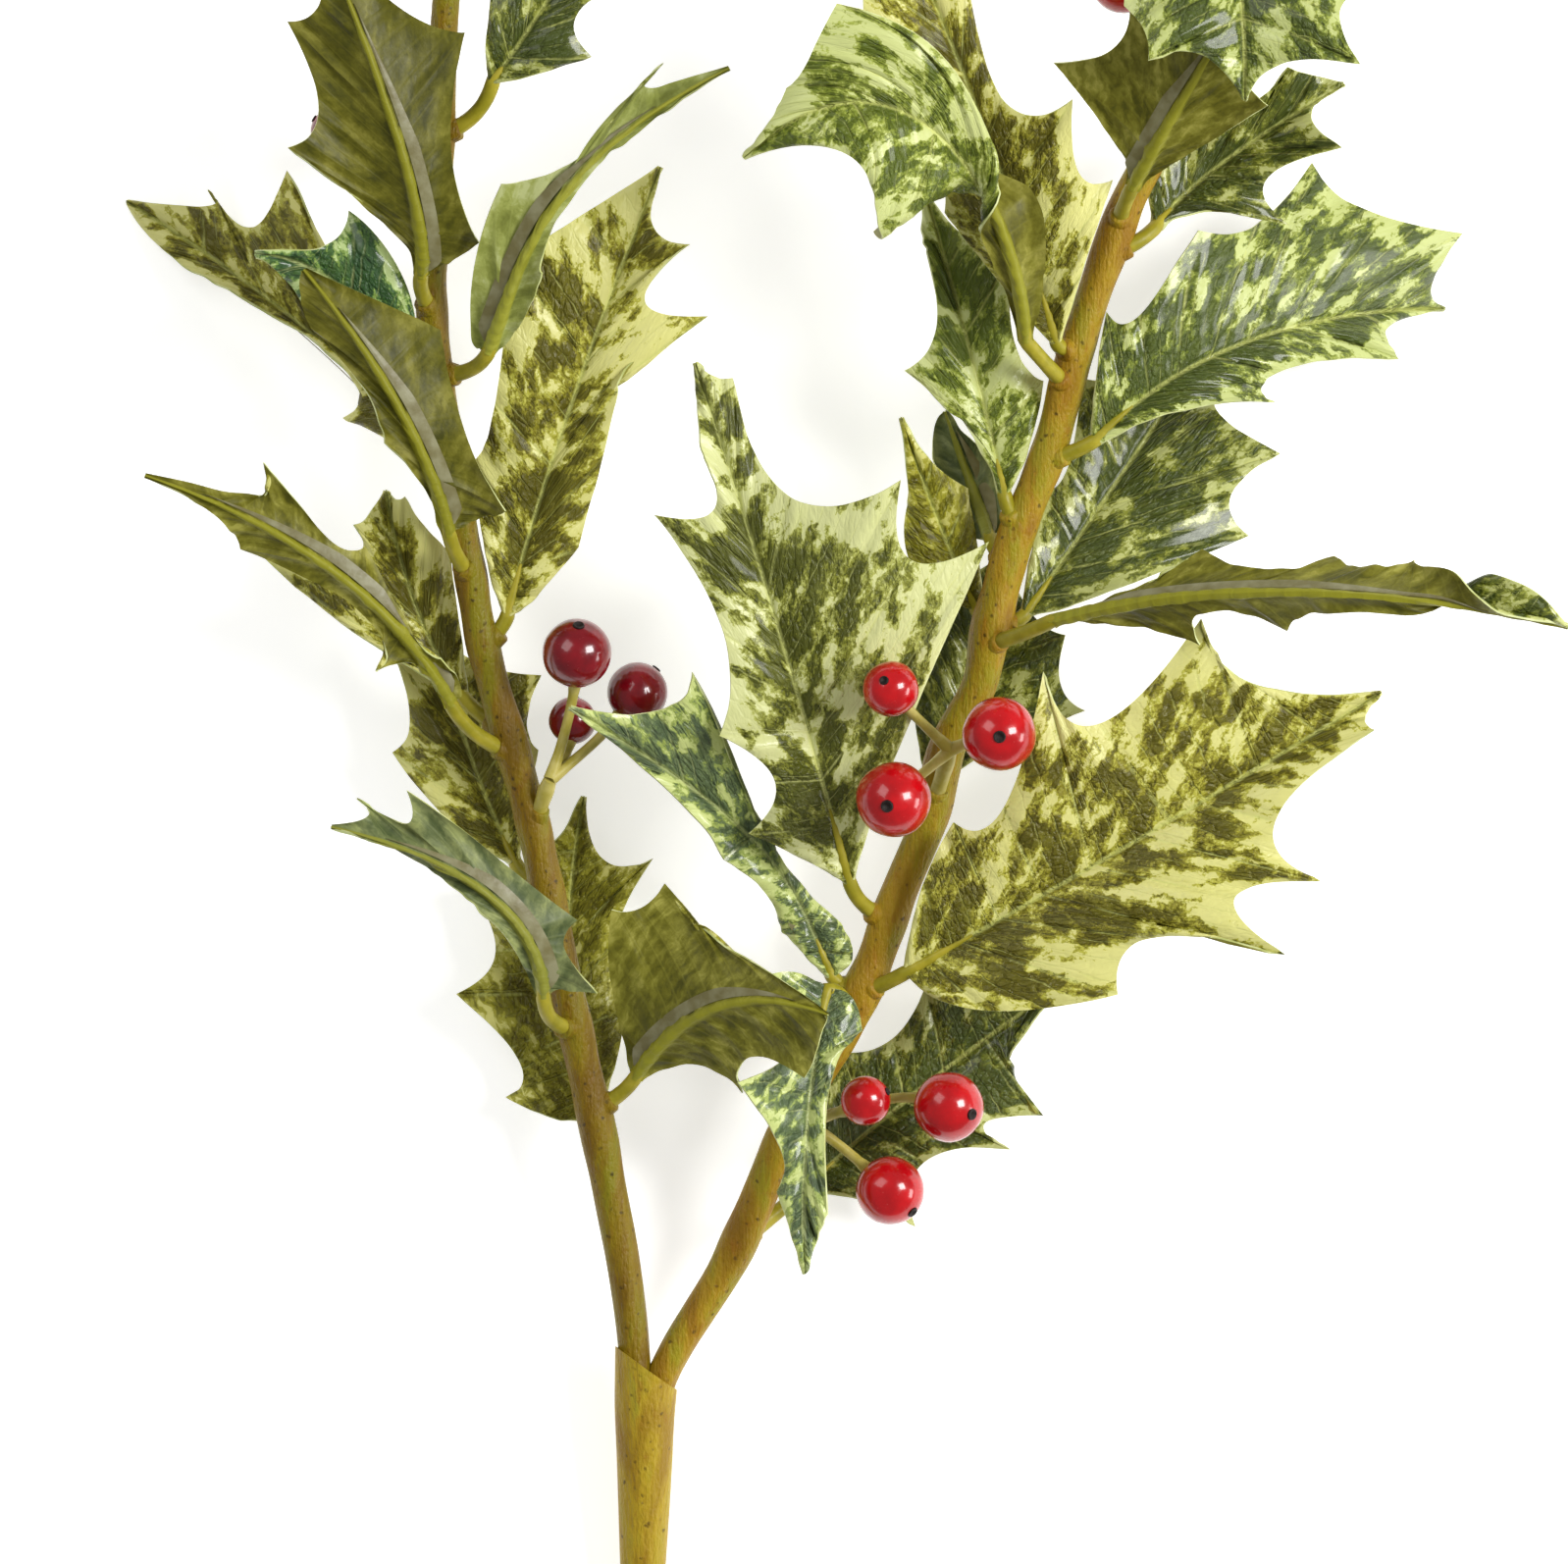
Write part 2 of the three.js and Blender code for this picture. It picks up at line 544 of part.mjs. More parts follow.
// Keeps only what is above the table, so that a piece that touches it has a small flat there.
function trimmedAtTable(solid) {
  const size = 1000;
  const below = new THREE.Matrix4().makeTranslation(0, 0, -size / 2);
  return solid.subtract(solidFromGeometry(new THREE.BoxGeometry(size, size, size), below));
}

// ---- stems as solids -----------------------------------------------------------------------------

function stemHeight(y) {
  return CUT_END_HEIGHT + (y - CUT_END_Y) * RISE;
}

// The stem's centre and radius at `y` along the spray.
function stemAt(stemName, y) {
  const { plan, radii } = STEMS[stemName];
  let i = 0;
  while (i < plan.length - 2 && plan[i + 1][1] < y) {
    i += 1;
  }
  const [from, to] = [plan[i], plan[i + 1]];
  const x = between(from[0], to[0], (y - from[1]) / (to[1] - from[1]));
  const share = (y - plan[0][1]) / (plan[plan.length - 1][1] - plan[0][1]);
  return { centre: new THREE.Vector3(x, y, stemHeight(y)), radius: alongList(radii, share) };
}

function stemTube(stemName, grown) {
  const { plan } = STEMS[stemName];
  const line = new THREE.CatmullRomCurve3(plan.map(([x, y]) => new THREE.Vector3(x, y, stemHeight(y))));
  const steps = Math.round(line.getLength() / STEM_STEP);
  const points = line.getSpacedPoints(steps);
  const radii = points.map((point) => stemAt(stemName, point.y).radius + grown);
  points[0].addScaledVector(line.getTangent(0), -grown);
  points[steps].addScaledVector(line.getTangent(1), grown);
  return tubeSolid(points, radii, STEM_SIDES);
}

// The main stem with its collar: the slanted rim is cut with a turned box, and the branches' sockets
// are cut with the branches themselves, grown by the seat gap.
function mainStemSolid(sockets) {
  const boxSize = 60;
  const [x, y] = COLLAR_RIM.middle;
  const rimCut = new THREE.Matrix4()
    .makeTranslation(x, y, stemHeight(y))
    .multiply(new THREE.Matrix4().makeRotationZ(THREE.MathUtils.degToRad(COLLAR_RIM.slant)))
    .multiply(new THREE.Matrix4().makeTranslation(0, boxSize / 2, 0));
  const box = solidFromGeometry(new THREE.BoxGeometry(boxSize, boxSize, boxSize), rimCut);
  return trimmedAtTable(stemTube('main', 0).subtract(box)).subtract(sockets);
}

// ---- leaves as solids ----------------------------------------------------------------------------

// A plan point as [share along the midrib, distance from it in plan].
function besideMidrib(midrib, [x, y]) {
  const samples = 400;
  let best = [0, Infinity];
  for (let i = 0; i <= samples; i += 1) {
    const point = curvePoint(midrib, i / samples);
    const distance = Math.hypot(point.x - x, point.y - y);
    if (distance < best[1]) {
      best = [i / samples, distance];
    }
  }
  return best;
}

// A half's edge, row by row: where each row ends along the midrib, how far out, and how it waves.
// Each stretch is a parabola from one spine to the next through the valley between them.
function edgeRows(midrib, outline, slope, rowCount) {
  const points = outline.map((point) => {
    const [along, out] = besideMidrib(midrib, point);
    return new THREE.Vector2(along, out / Math.cos(slope));
  });
  const valleys = points.filter((_, i) => i % 2 === 0);
  const spines = [
    new THREE.Vector2(0, BASE_HALF_WIDTH),
    ...points.filter((_, i) => i % 2 === 1),
    new THREE.Vector2(1, TIP_HALF_WIDTH),
  ];
  const stretches = valleys.length;
  const marks = spines.map((_, j) => Math.round((j * rowCount) / stretches));
  const rows = [];
  for (let row = 0; row <= rowCount; row += 1) {
    let j = 0;
    while (j < stretches - 1 && marks[j + 1] <= row) {
      j += 1;
    }
    const u = (row - marks[j]) / (marks[j + 1] - marks[j]);
    const [from, valley, to] = [spines[j], valleys[j], spines[j + 1]];
    const handle = valley.clone().multiplyScalar(2).addScaledVector(from, -0.5).addScaledVector(to, -0.5);
    const curve = new THREE.QuadraticBezierCurve(from, handle, to);
    const { x: along, y: out } = curve.getPoint(u);
    const fade = Math.min(1, j + u) * Math.min(1, (stretches - j - u) * TIP_FADE);
    rows.push({ along, out, wave: SPINE_WAVE * fade * Math.cos(Math.PI * (j + u)) });
  }
  return rows;
}

// The leaf's own directions at a share of its midrib: along it, out of its upper face, to its left.
function leafFrame(leaf, midrib, along) {
  const forward = curveDirection(midrib, along);
  const [start, end] = leaf.twist ?? [0, 1];
  const [from, to] = leaf.roll ?? [0, 0];
  const turned = between(from, to, smoothStep((along - start) / (end - start)));
  const upper = UP.clone().addScaledVector(forward, -forward.dot(UP)).normalize()
    .applyAxisAngle(forward, THREE.MathUtils.degToRad(turned));
  return { forward, upper, left: new THREE.Vector3().crossVectors(upper, forward) };
}

// The blade's middle surface: a grid from the left edge over the midrib to the right edge.
function bladeGrid(leaf) {
  const midrib = leaf.midrib.map(vector);
  const rowCount = Math.max(leaf.left.length, leaf.right.length) + 1;
  const rows = Array.from({ length: rowCount + 1 }, () => []);
  for (const [half, sign] of [['left', 1], ['right', -1]]) {
    const index = sign > 0 ? 0 : 1;
    const fold = THREE.MathUtils.degToRad((leaf.fold ?? FOLD)[index]);
    const curl = THREE.MathUtils.degToRad((leaf.curl ?? CURL)[index]);
    const edge = edgeRows(midrib, leaf[half], Math.abs(fold + curl / 2), rowCount);
    const widest = Math.max(...edge.map(({ out }) => out));
    const shares = sign > 0 ? [...HALF_SHARES].reverse() : [0, ...HALF_SHARES];
    rows.forEach((row, r) => {
      const root = (r / rowCount) ** ROOT_LAG;
      for (const share of shares) {
        const along = between(root, edge[r].along, share);
        const out = edge[r].out * share;
        const { upper, left } = leafFrame(leaf, midrib, along);
        const bend = (curl * out) / widest;
        const chord = Math.abs(bend) > 1e-6 ? (2 * out * Math.sin(bend / 2)) / bend : out;
        const side = chord * Math.cos(fold + bend / 2);
        const rise = chord * Math.sin(fold + bend / 2) + edge[r].wave * share * share;
        row.push(curvePoint(midrib, along).addScaledVector(left, sign * side).addScaledVector(upper, rise));
      }
    });
  }
  return rows;
}

// Directions out of the upper face at each point of the grid.
function gridNormals(grid) {
  const columns = grid[0].length;
  return grid.map((row, r) => row.map((_, c) => {
    const ahead = grid[Math.min(r + 1, grid.length - 1)][c].clone().sub(grid[Math.max(r - 1, 0)][c]);
    const right = row[Math.min(c + 1, columns - 1)].clone().sub(row[Math.max(c - 1, 0)]);
    return right.cross(ahead).normalize();
  }));
}

// The blade as a closed solid: both faces are split into the same triangles, and a rim joins them.
function bladeSolid(leaf) {
  const grid = bladeGrid(leaf);
  const normals = gridNormals(grid);
  const columns = grid[0].length;
  const lastRow = grid.length - 1;
  const middle = (columns - 1) / 2;
  const count = grid.length * columns;
  const top = [];
  const bottom = [];
  grid.forEach((row, r) => row.forEach((point, c) => {
    const rib = c === middle ? RIB_DEPTH * (1 - r / lastRow) : 0;
    top.push(point.clone().addScaledVector(normals[r][c], BLADE_THICKNESS / 2));
    bottom.push(point.clone().addScaledVector(normals[r][c], -BLADE_THICKNESS / 2 - rib));
  }));
  const triangles = [];
  for (let r = 0; r < lastRow; r += 1) {
    for (let c = 0; c < columns - 1; c += 1) {
      const [a, b] = [r * columns + c, r * columns + c + 1];
      const [d, e] = [a + columns, b + columns];
      const faces = c < middle ? [[a, b, d], [b, e, d]] : [[a, b, e], [a, e, d]];
      for (const [p, q, s] of faces) {
        triangles.push([p, q, s], [p + count, s + count, q + count]);
      }
    }
  }
  const rim = [];
  for (let r = 0; r < lastRow; r += 1) {
    rim.push([r * columns, (r + 1) * columns]);
    rim.push([(r + 2) * columns - 1, (r + 1) * columns - 1]);
  }
  for (let c = 0; c < columns - 1; c += 1) {
    rim.push([c + 1, c]);
    rim.push([lastRow * columns + c, lastRow * columns + c + 1]);
  }
  for (const [p, q] of rim) {
    triangles.push([p, q, q + count], [p, q + count, p + count]);
  }
  return solidOf([...top, ...bottom], triangles);
}

// The petiole's centre line: it bends from the branch to the foot of the blade and runs in under it.
function petioleLine(leaf) {
  const midrib = leaf.midrib.map(vector);
  const [foot] = midrib;
  const { centre } = stemAt(leaf.branch, leaf.at);
  const reach = foot.distanceTo(centre);
  const straight = foot.clone().addScaledVector(curveDirection(midrib, 0), -PETIOLE_LEAD * reach);
  const knee = leaf.knee ? vector(leaf.knee) : straight;
  const bend = new THREE.QuadraticBezierCurve3(centre, knee, foot).getPoints(PETIOLE_BENDS);
  return [...bend, ...PETIOLE_UNDER_BLADE.map((along) => curvePoint(midrib, along))];
}

function leafSolid(leaf, clearance) {
  const petiole = tubeSolid(petioleLine(leaf), PETIOLE_RADII, PETIOLE_SIDES);
  return largestShell(trimmedAtTable(bladeSolid(leaf).add(petiole).subtract(clearance)));
}

// ---- berries as solids ---------------------------------------------------------------------------

// A berry is turned from a profile: almost round, with a small calyx standing up at its far end.
function berrySolid({ middle, radius, faces }) {
  const profile = [];
  for (let ring = 0; ring < BERRY_RINGS; ring += 1) {
    const angle = (Math.PI * ring) / BERRY_RINGS;
    profile.push(new THREE.Vector2(radius * Math.sin(angle), -radius * Math.cos(angle)));
  }
  for (const [across, up] of CALYX_RINGS) {
    profile.push(new THREE.Vector2(radius * across, radius * up));
  }
  const profileAxis = new THREE.Vector3(0, 1, 0);
  const turn = new THREE.Quaternion().setFromUnitVectors(profileAxis, vector(faces).normalize());
  const place = new THREE.Matrix4().compose(vector(middle), turn, new THREE.Vector3(1, 1, 1));
  return solidFromGeometry(new THREE.LatheGeometry(profile, BERRY_SIDES), place);
}

// The stalk: a short trunk from the branch to the hub, and a twig to the back of each berry.
function stalkSolid(cluster, clearance) {
  const hub = vector(cluster.hub);
  const { centre } = stemAt(cluster.branch, cluster.at);
  const { trunk, hub: fork, twig, cup } = STALK_RADII;
  let solid = tubeSolid([centre, hub], [trunk, fork], STALK_SIDES);
  for (const { middle, radius, faces } of cluster.berries) {
    const back = vector(faces).normalize().negate();
    const end = vector(middle).addScaledVector(back, radius + SEAT_GAP);
    const handle = end.clone().addScaledVector(back, end.distanceTo(hub) * TWIG_LEAD);
    const points = new THREE.QuadraticBezierCurve3(hub, handle, end).getPoints(3);
    solid = solid.add(tubeSolid(points, [twig, twig, twig, cup], STALK_SIDES));
  }
  return solid.subtract(clearance);
}

// ---- the spray -----------------------------------------------------------------------------------

const sprig = new THREE.Group();
const leftBranch = stemTube('left', 0);
const rightBranch = stemTube('right', 0);
const clearances = { left: stemTube('left', SEAT_GAP), right: stemTube('right', SEAT_GAP) };
const sockets = clearances.left.add(clearances.right);

sprig.add(meshOf('main_stem', mainStemSolid(sockets), stemMaterial));
sprig.add(meshOf('left_branch', leftBranch, stemMaterial));
sprig.add(meshOf('right_branch', rightBranch.subtract(clearances.left), stemMaterial));
for (const leaf of LEAVES) {
  sprig.add(meshOf(leaf.name, leafSolid(leaf, clearances[leaf.branch]), LEAF_MATERIALS[leaf.look]));
}
for (const cluster of BERRY_CLUSTERS) {
  sprig.add(meshOf(`${cluster.name}_stalk`, stalkSolid(cluster, clearances[cluster.branch]), stalkMaterial));
  cluster.berries.forEach((berry, i) => {
    sprig.add(meshOf(`${cluster.name}_berry_${i + 1}`, berrySolid(berry), berryMaterial));
  });
}
sprig.position.set(-PLAN_MIDDLE[0], -PLAN_MIDDLE[1], 0);

export default sprig;
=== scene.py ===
"""Looks of a cut holly spray: fine leaves, stems and berries, their materials, the light and the camera.

Shapes are worked out in millimetres in the spray's own coordinates, the same as the solids', and are
moved to the frame's origin and scaled to metres when a piece is made.
"""

import math
from types import SimpleNamespace as Record

import bpy
import numpy as np
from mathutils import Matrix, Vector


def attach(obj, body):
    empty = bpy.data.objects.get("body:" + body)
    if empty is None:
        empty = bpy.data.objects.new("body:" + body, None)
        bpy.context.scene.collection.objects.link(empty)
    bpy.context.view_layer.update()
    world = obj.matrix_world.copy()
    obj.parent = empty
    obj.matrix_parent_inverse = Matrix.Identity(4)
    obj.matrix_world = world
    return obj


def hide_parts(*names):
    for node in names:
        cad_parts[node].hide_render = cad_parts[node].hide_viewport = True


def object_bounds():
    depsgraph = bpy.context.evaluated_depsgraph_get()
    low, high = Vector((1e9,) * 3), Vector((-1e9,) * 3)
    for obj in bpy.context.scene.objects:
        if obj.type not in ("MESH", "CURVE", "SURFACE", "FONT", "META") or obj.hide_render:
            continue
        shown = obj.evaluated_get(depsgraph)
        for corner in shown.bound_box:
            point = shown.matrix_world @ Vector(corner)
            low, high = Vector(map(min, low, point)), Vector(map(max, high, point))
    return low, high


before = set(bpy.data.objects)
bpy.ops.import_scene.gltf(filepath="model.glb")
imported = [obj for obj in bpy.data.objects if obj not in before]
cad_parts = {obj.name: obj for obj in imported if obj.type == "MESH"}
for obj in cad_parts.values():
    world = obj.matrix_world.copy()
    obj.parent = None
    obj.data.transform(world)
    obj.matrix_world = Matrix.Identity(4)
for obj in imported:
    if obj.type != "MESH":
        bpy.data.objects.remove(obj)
cad_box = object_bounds()

# ---- sizes, as in the solids ----

MM = 0.001
PLAN_MIDDLE = (7.96, 125.372, 0)
CUT_END_Y = -26
CUT_END_HEIGHT = 2.6
RISE = 0.135
SPINE_WAVE = 1.5
TIP_FADE = 1.5
ROOT_LAG = 1.35
BASE_HALF_WIDTH = 0.9
TIP_HALF_WIDTH = 0.35
FOLD = (20, 20)
CURL = (-28, -28)
OVER = (180, 180)  # the roll of a leaf whose underside shows
PETIOLE_LEAD = 0.45
SEAT_GAP = 0.3

# ---- sizes of the fine surface ----

MIDRIB_SAMPLES = 60
FOOT_SAMPLES = 401  # along the midrib, to find the one nearest an outline point
ROW_STEP = 0.6  # mm between rows of a leaf's grid
HALF_COLUMNS = 16  # columns across half a leaf, closer together near the midrib
COLUMN_CROWDING = 1.5
BLADE_THICKNESS = 0.42
EDGE_THICKNESS = 0.26
VEIN_WIDTH = 0.75
VEIN_SLANT = 33  # degrees between the midrib and the streaks along the side veins
FOLD_RELIEF = 8  # how strongly the glossier leaves crease along their side veins
MAPS = ("place", "veins", "mark")
QUILTING = 0.45  # how far the blade swells between its side veins
PUCKER = 0.1
EDGE_RIPPLE = 0.35  # how far the blade's edge undulates
GROOVE_DEPTH = 0.22  # the midrib's groove in the upper face
GROOVE_WIDTH = 0.45
RIDGE_WIDTHS = (1.1, 0.25)  # half width of the midrib's ridge below, at the foot and where it ends
RIDGE_HEIGHTS = (0.85, 0.1)
RIDGE_END = 0.9
STRIP_SPAN = (0.03, 0.86)  # the grey strip that holds the leaf's wire, along the midrib
STRIP_POINT = 0.35  # how much of the midrib its pointed end takes
STRIP_OFFSET = 0.9  # from the midrib
STRIP_WIDTH = 1.8
STRIP_HEIGHT = 0.14
STRIP_ON_RIGHT = ("left_leaf_02", "left_leaf_11", "right_leaf_07", "right_leaf_16")
NO_STRIP = ("right_leaf_13",)
PETIOLE_UNDER = 0.14  # how much of the midrib the petiole runs in under
PETIOLE_RADII = (1.3, 1.15, 1.1, 1.05, 1.05, 1.05, 0.7, 0.2)

FINE_VEIN_STEP = 2.4  # mm between the fine side veins
SHARP_ANGLE = 50

STEM_SIDES = 28
MAIN_STEM_SIDES = 40
PETIOLE_SIDES = 14  # of sockets and of clusters' trunks too
TWIG_SIDES = 12
STEM_STEP = 1.2
NODE_SWELL = 0.22  # how much a stem swells where a leaf or stalk leaves it
NODE_LENGTH = 3.0
SOCKET_LENGTH = 1.0  # a leaf's short socket stands out of the stem by this
SOCKET_SHARES = (0, 0.55, 0.8, 0.95, 1)
SOCKET_RADII = (1.9, 1.75, 1.6, 1.5, 1.3)
BRANCH_END = (0.97, 0.88, 0.7)  # how a branch's radius falls off over its last rings
CUT_BEVEL = (0.55, 0.12)  # the cut end's worn edge, ring by ring
LIP_PROFILE = ((0.0, 0.25), (0.5, 0.6), (2.6, 0.9))  # the collar's lip: how far back and in

BERRY_SIDES = 40
BERRY_RINGS = 26
BERRY_TURNS = (0.05, math.pi - 0.17)  # from the stalk's end to the calyx, in radians
CALYX_PROFILE = (  # radius and height of the rings round the calyx, in berry radii
    (0.155, 0.955), (0.15, 0.985), (0.165, 1.02), (0.14, 1.045), (0.1, 1.03), (0.06, 0.99), (0.02, 0.985),
)
DARK_CLUSTERS = ("berry_cluster_2", "berry_cluster_4")
TRUNK_RADII = (1.25, 1.1, 1.05, 1.2, 0.9)
TWIG_RADII = (1.0, 0.75, 0.7, 0.7, 0.72, 1.05)
TWIG_LEAD = 0.4

# ---- colours ----
# How much of a look's upper face is dark, the size of its patches, its gloss and contrast, and its tones,
# from cream over lime and olive to dark.
LOOK_FIELDS = ("cover", "patch", "gloss", "contrast", "cream", "lime", "olive", "dark")
LOOKS = {
    "green": (0.54, 0.9, 0.15, 1.0, "bfc680", "9da74c", "7a862c", "525f16"),
    "yellow": (0.52, 1.0, 0.08, 1.0, "ccc97c", "a9a63d", "857f24", "595412"),
    "blue": (0.68, 0.6, 0.4, 0.75, "b4c684", "7f9a48", "4a6a34", "2c4c24"),
    # olive: the leaves' own flatter olive, and for left_leaf_01 also painted shade, as its upper face lies
    # in shade under the left branch.
    "olive": (0.62, 0.5, 0.05, 0.4, "c4c06e", "98942f", "74701a", "585310"),
    "dark": (0.84, 0.8, 0.35, 0.85, "b0b470", "858a34", "5f661e", "404a14"),
    "mid": (0.68, 0.75, 0.3, 1.0, "b5bd76", "8e983e", "677324", "455118"),
    "pale": (0.54, 1.0, 0.15, 1.0, "c8cb8d", "a4a853", "7a7d2b", "4c5014"),
    "grey": (0.6, 0.6, 0.4, 0.7, "bec87c", "94a350", "6a7a4c", "4f5f3e"),
}
UNDERSIDES = {"blue": "grey", "grey": "grey", "pale": "pale", "mid": "deep"}
UNDER_FIELDS = ("vein", "rib", "under_pale", "under_lime", "under", "under_deep")
UNDER_TONES = {  # the undersides of most looks, and of some
    "olive": ("c0c470", "8a8822", "949040", "777426", "625f16", "48470c"),
    "deep": ("c0c470", "84821e", "7c782e", "64611a", "53510f", "3c3c08"),
    "grey": ("bcc482", "86862c", "8b9258", "70784a", "59633a", "434f2c"),
    "pale": ("c4c878", "93922c", "b0b67a", "939a50", "7d843c", "656b2c"),
}


def tones_of(look):
    values = LOOKS[look] + UNDER_TONES[UNDERSIDES.get(look, "olive")]
    return Record(**dict(zip(LOOK_FIELDS + UNDER_FIELDS, values)))


STEM_TONES = {  # olive, gold, brown, stains and specks
    "main": ("9c8e24", "a68c20", "8e7016", "8c5e12", "42300c"),
    "left": ("7a7212", "7e680e", "6c520a", "704a0a", "2a1f06"),
    "right": ("90841a", "9c7e18", "886410", "8c5810", "3c2c08"),
}

# ---- camera, light and floor ----

SENSOR_WIDTH = 36
CAMERA_DISTANCE = 3000
VIEW_HEIGHT = 40  # the plane, above the table, that the picture's width was measured in
VIEW_WIDTH = 215.73
VIEW_MIDDLE = (0, 107.6)
FLOOR_SIZE = 6
WORLD_STRENGTH = 0.32
FLOOR_GLOW = 0.5
LAMPS = (  # name, place in metres, size and power
    ("key", (1.0, 0.25, 1.15), (0.5, 0.6), 23),
    ("side", (1.3, -0.25, 0.35), (0.5, 0.3), 5),
    ("fill", (-0.9, 0.7, 1.3), (0.9, 0.9), 8.5),
)

# ---- the spray's pieces, as in the solids: plan points in mm ----

STEMS = {
  "main": {
    "plan": [[-20.3, -26], [-19.6, 0], [-19.4, 14], [-19.4, 20], [-19.2, 25], [-19.0, 31]],
    "radii": [3.05, 2.9, 3.1, 3.65, 4.15, 4.4],
  },
  "left": {
    "plan": [
      [-20.4, 21.5], [-21.1, 32], [-22.4, 41], [-24.6, 53.2], [-29, 73.7], [-32.7, 91.8], [-34.4, 100.4],
      [-37, 109.9], [-42, 128.3], [-43.5, 136.9], [-46.6, 154.4], [-48.6, 173.6], [-47.5, 194.9],
      [-46.6, 215.2], [-45, 231], [-44, 239],
    ],
    "radii": [2.1, 2.4, 2.35, 2.3, 2.2, 2.1, 2.05, 2.0, 1.9, 1.7],
  },
  "right": {
    "plan": [
      [-18.3, 20], [-16.9, 25], [-14.6, 29.5], [-12, 33.7], [-8.1, 40.1], [-4.7, 47.1], [-1.6, 54.5],
      [2.7, 64], [7.4, 72.1], [11.2, 79.5], [15.4, 91], [20.1, 102.3], [23.1, 113.7], [26.9, 120.7],
      [28.6, 128.7], [31.7, 140.5], [36.3, 152.4], [40.6, 168.2], [44.6, 180.1], [47.3, 187.5],
      [51.3, 195], [56, 207], [59.5, 217], [62, 229], [63, 241],
    ],
    "radii": [2.1, 2.5, 2.5, 2.5, 2.45, 2.4, 2.35, 2.3, 2.1, 1.8],
  },
}
COLLAR_RIM_Y = 26.3
COLLAR_SLANT = -36


def leaf_row(branch, number, look, at, midrib, left, right, **turns):
    turns = {"fold": FOLD, "curl": CURL, "roll": (0, 0), "twist": (0, 1), "knee": None, **turns}
    shape = {"look": look, "at": at, "midrib": midrib, "left": left, "right": right}
    return Record(name=f"{branch}_leaf_{number:02}", branch=branch, **shape, **turns)


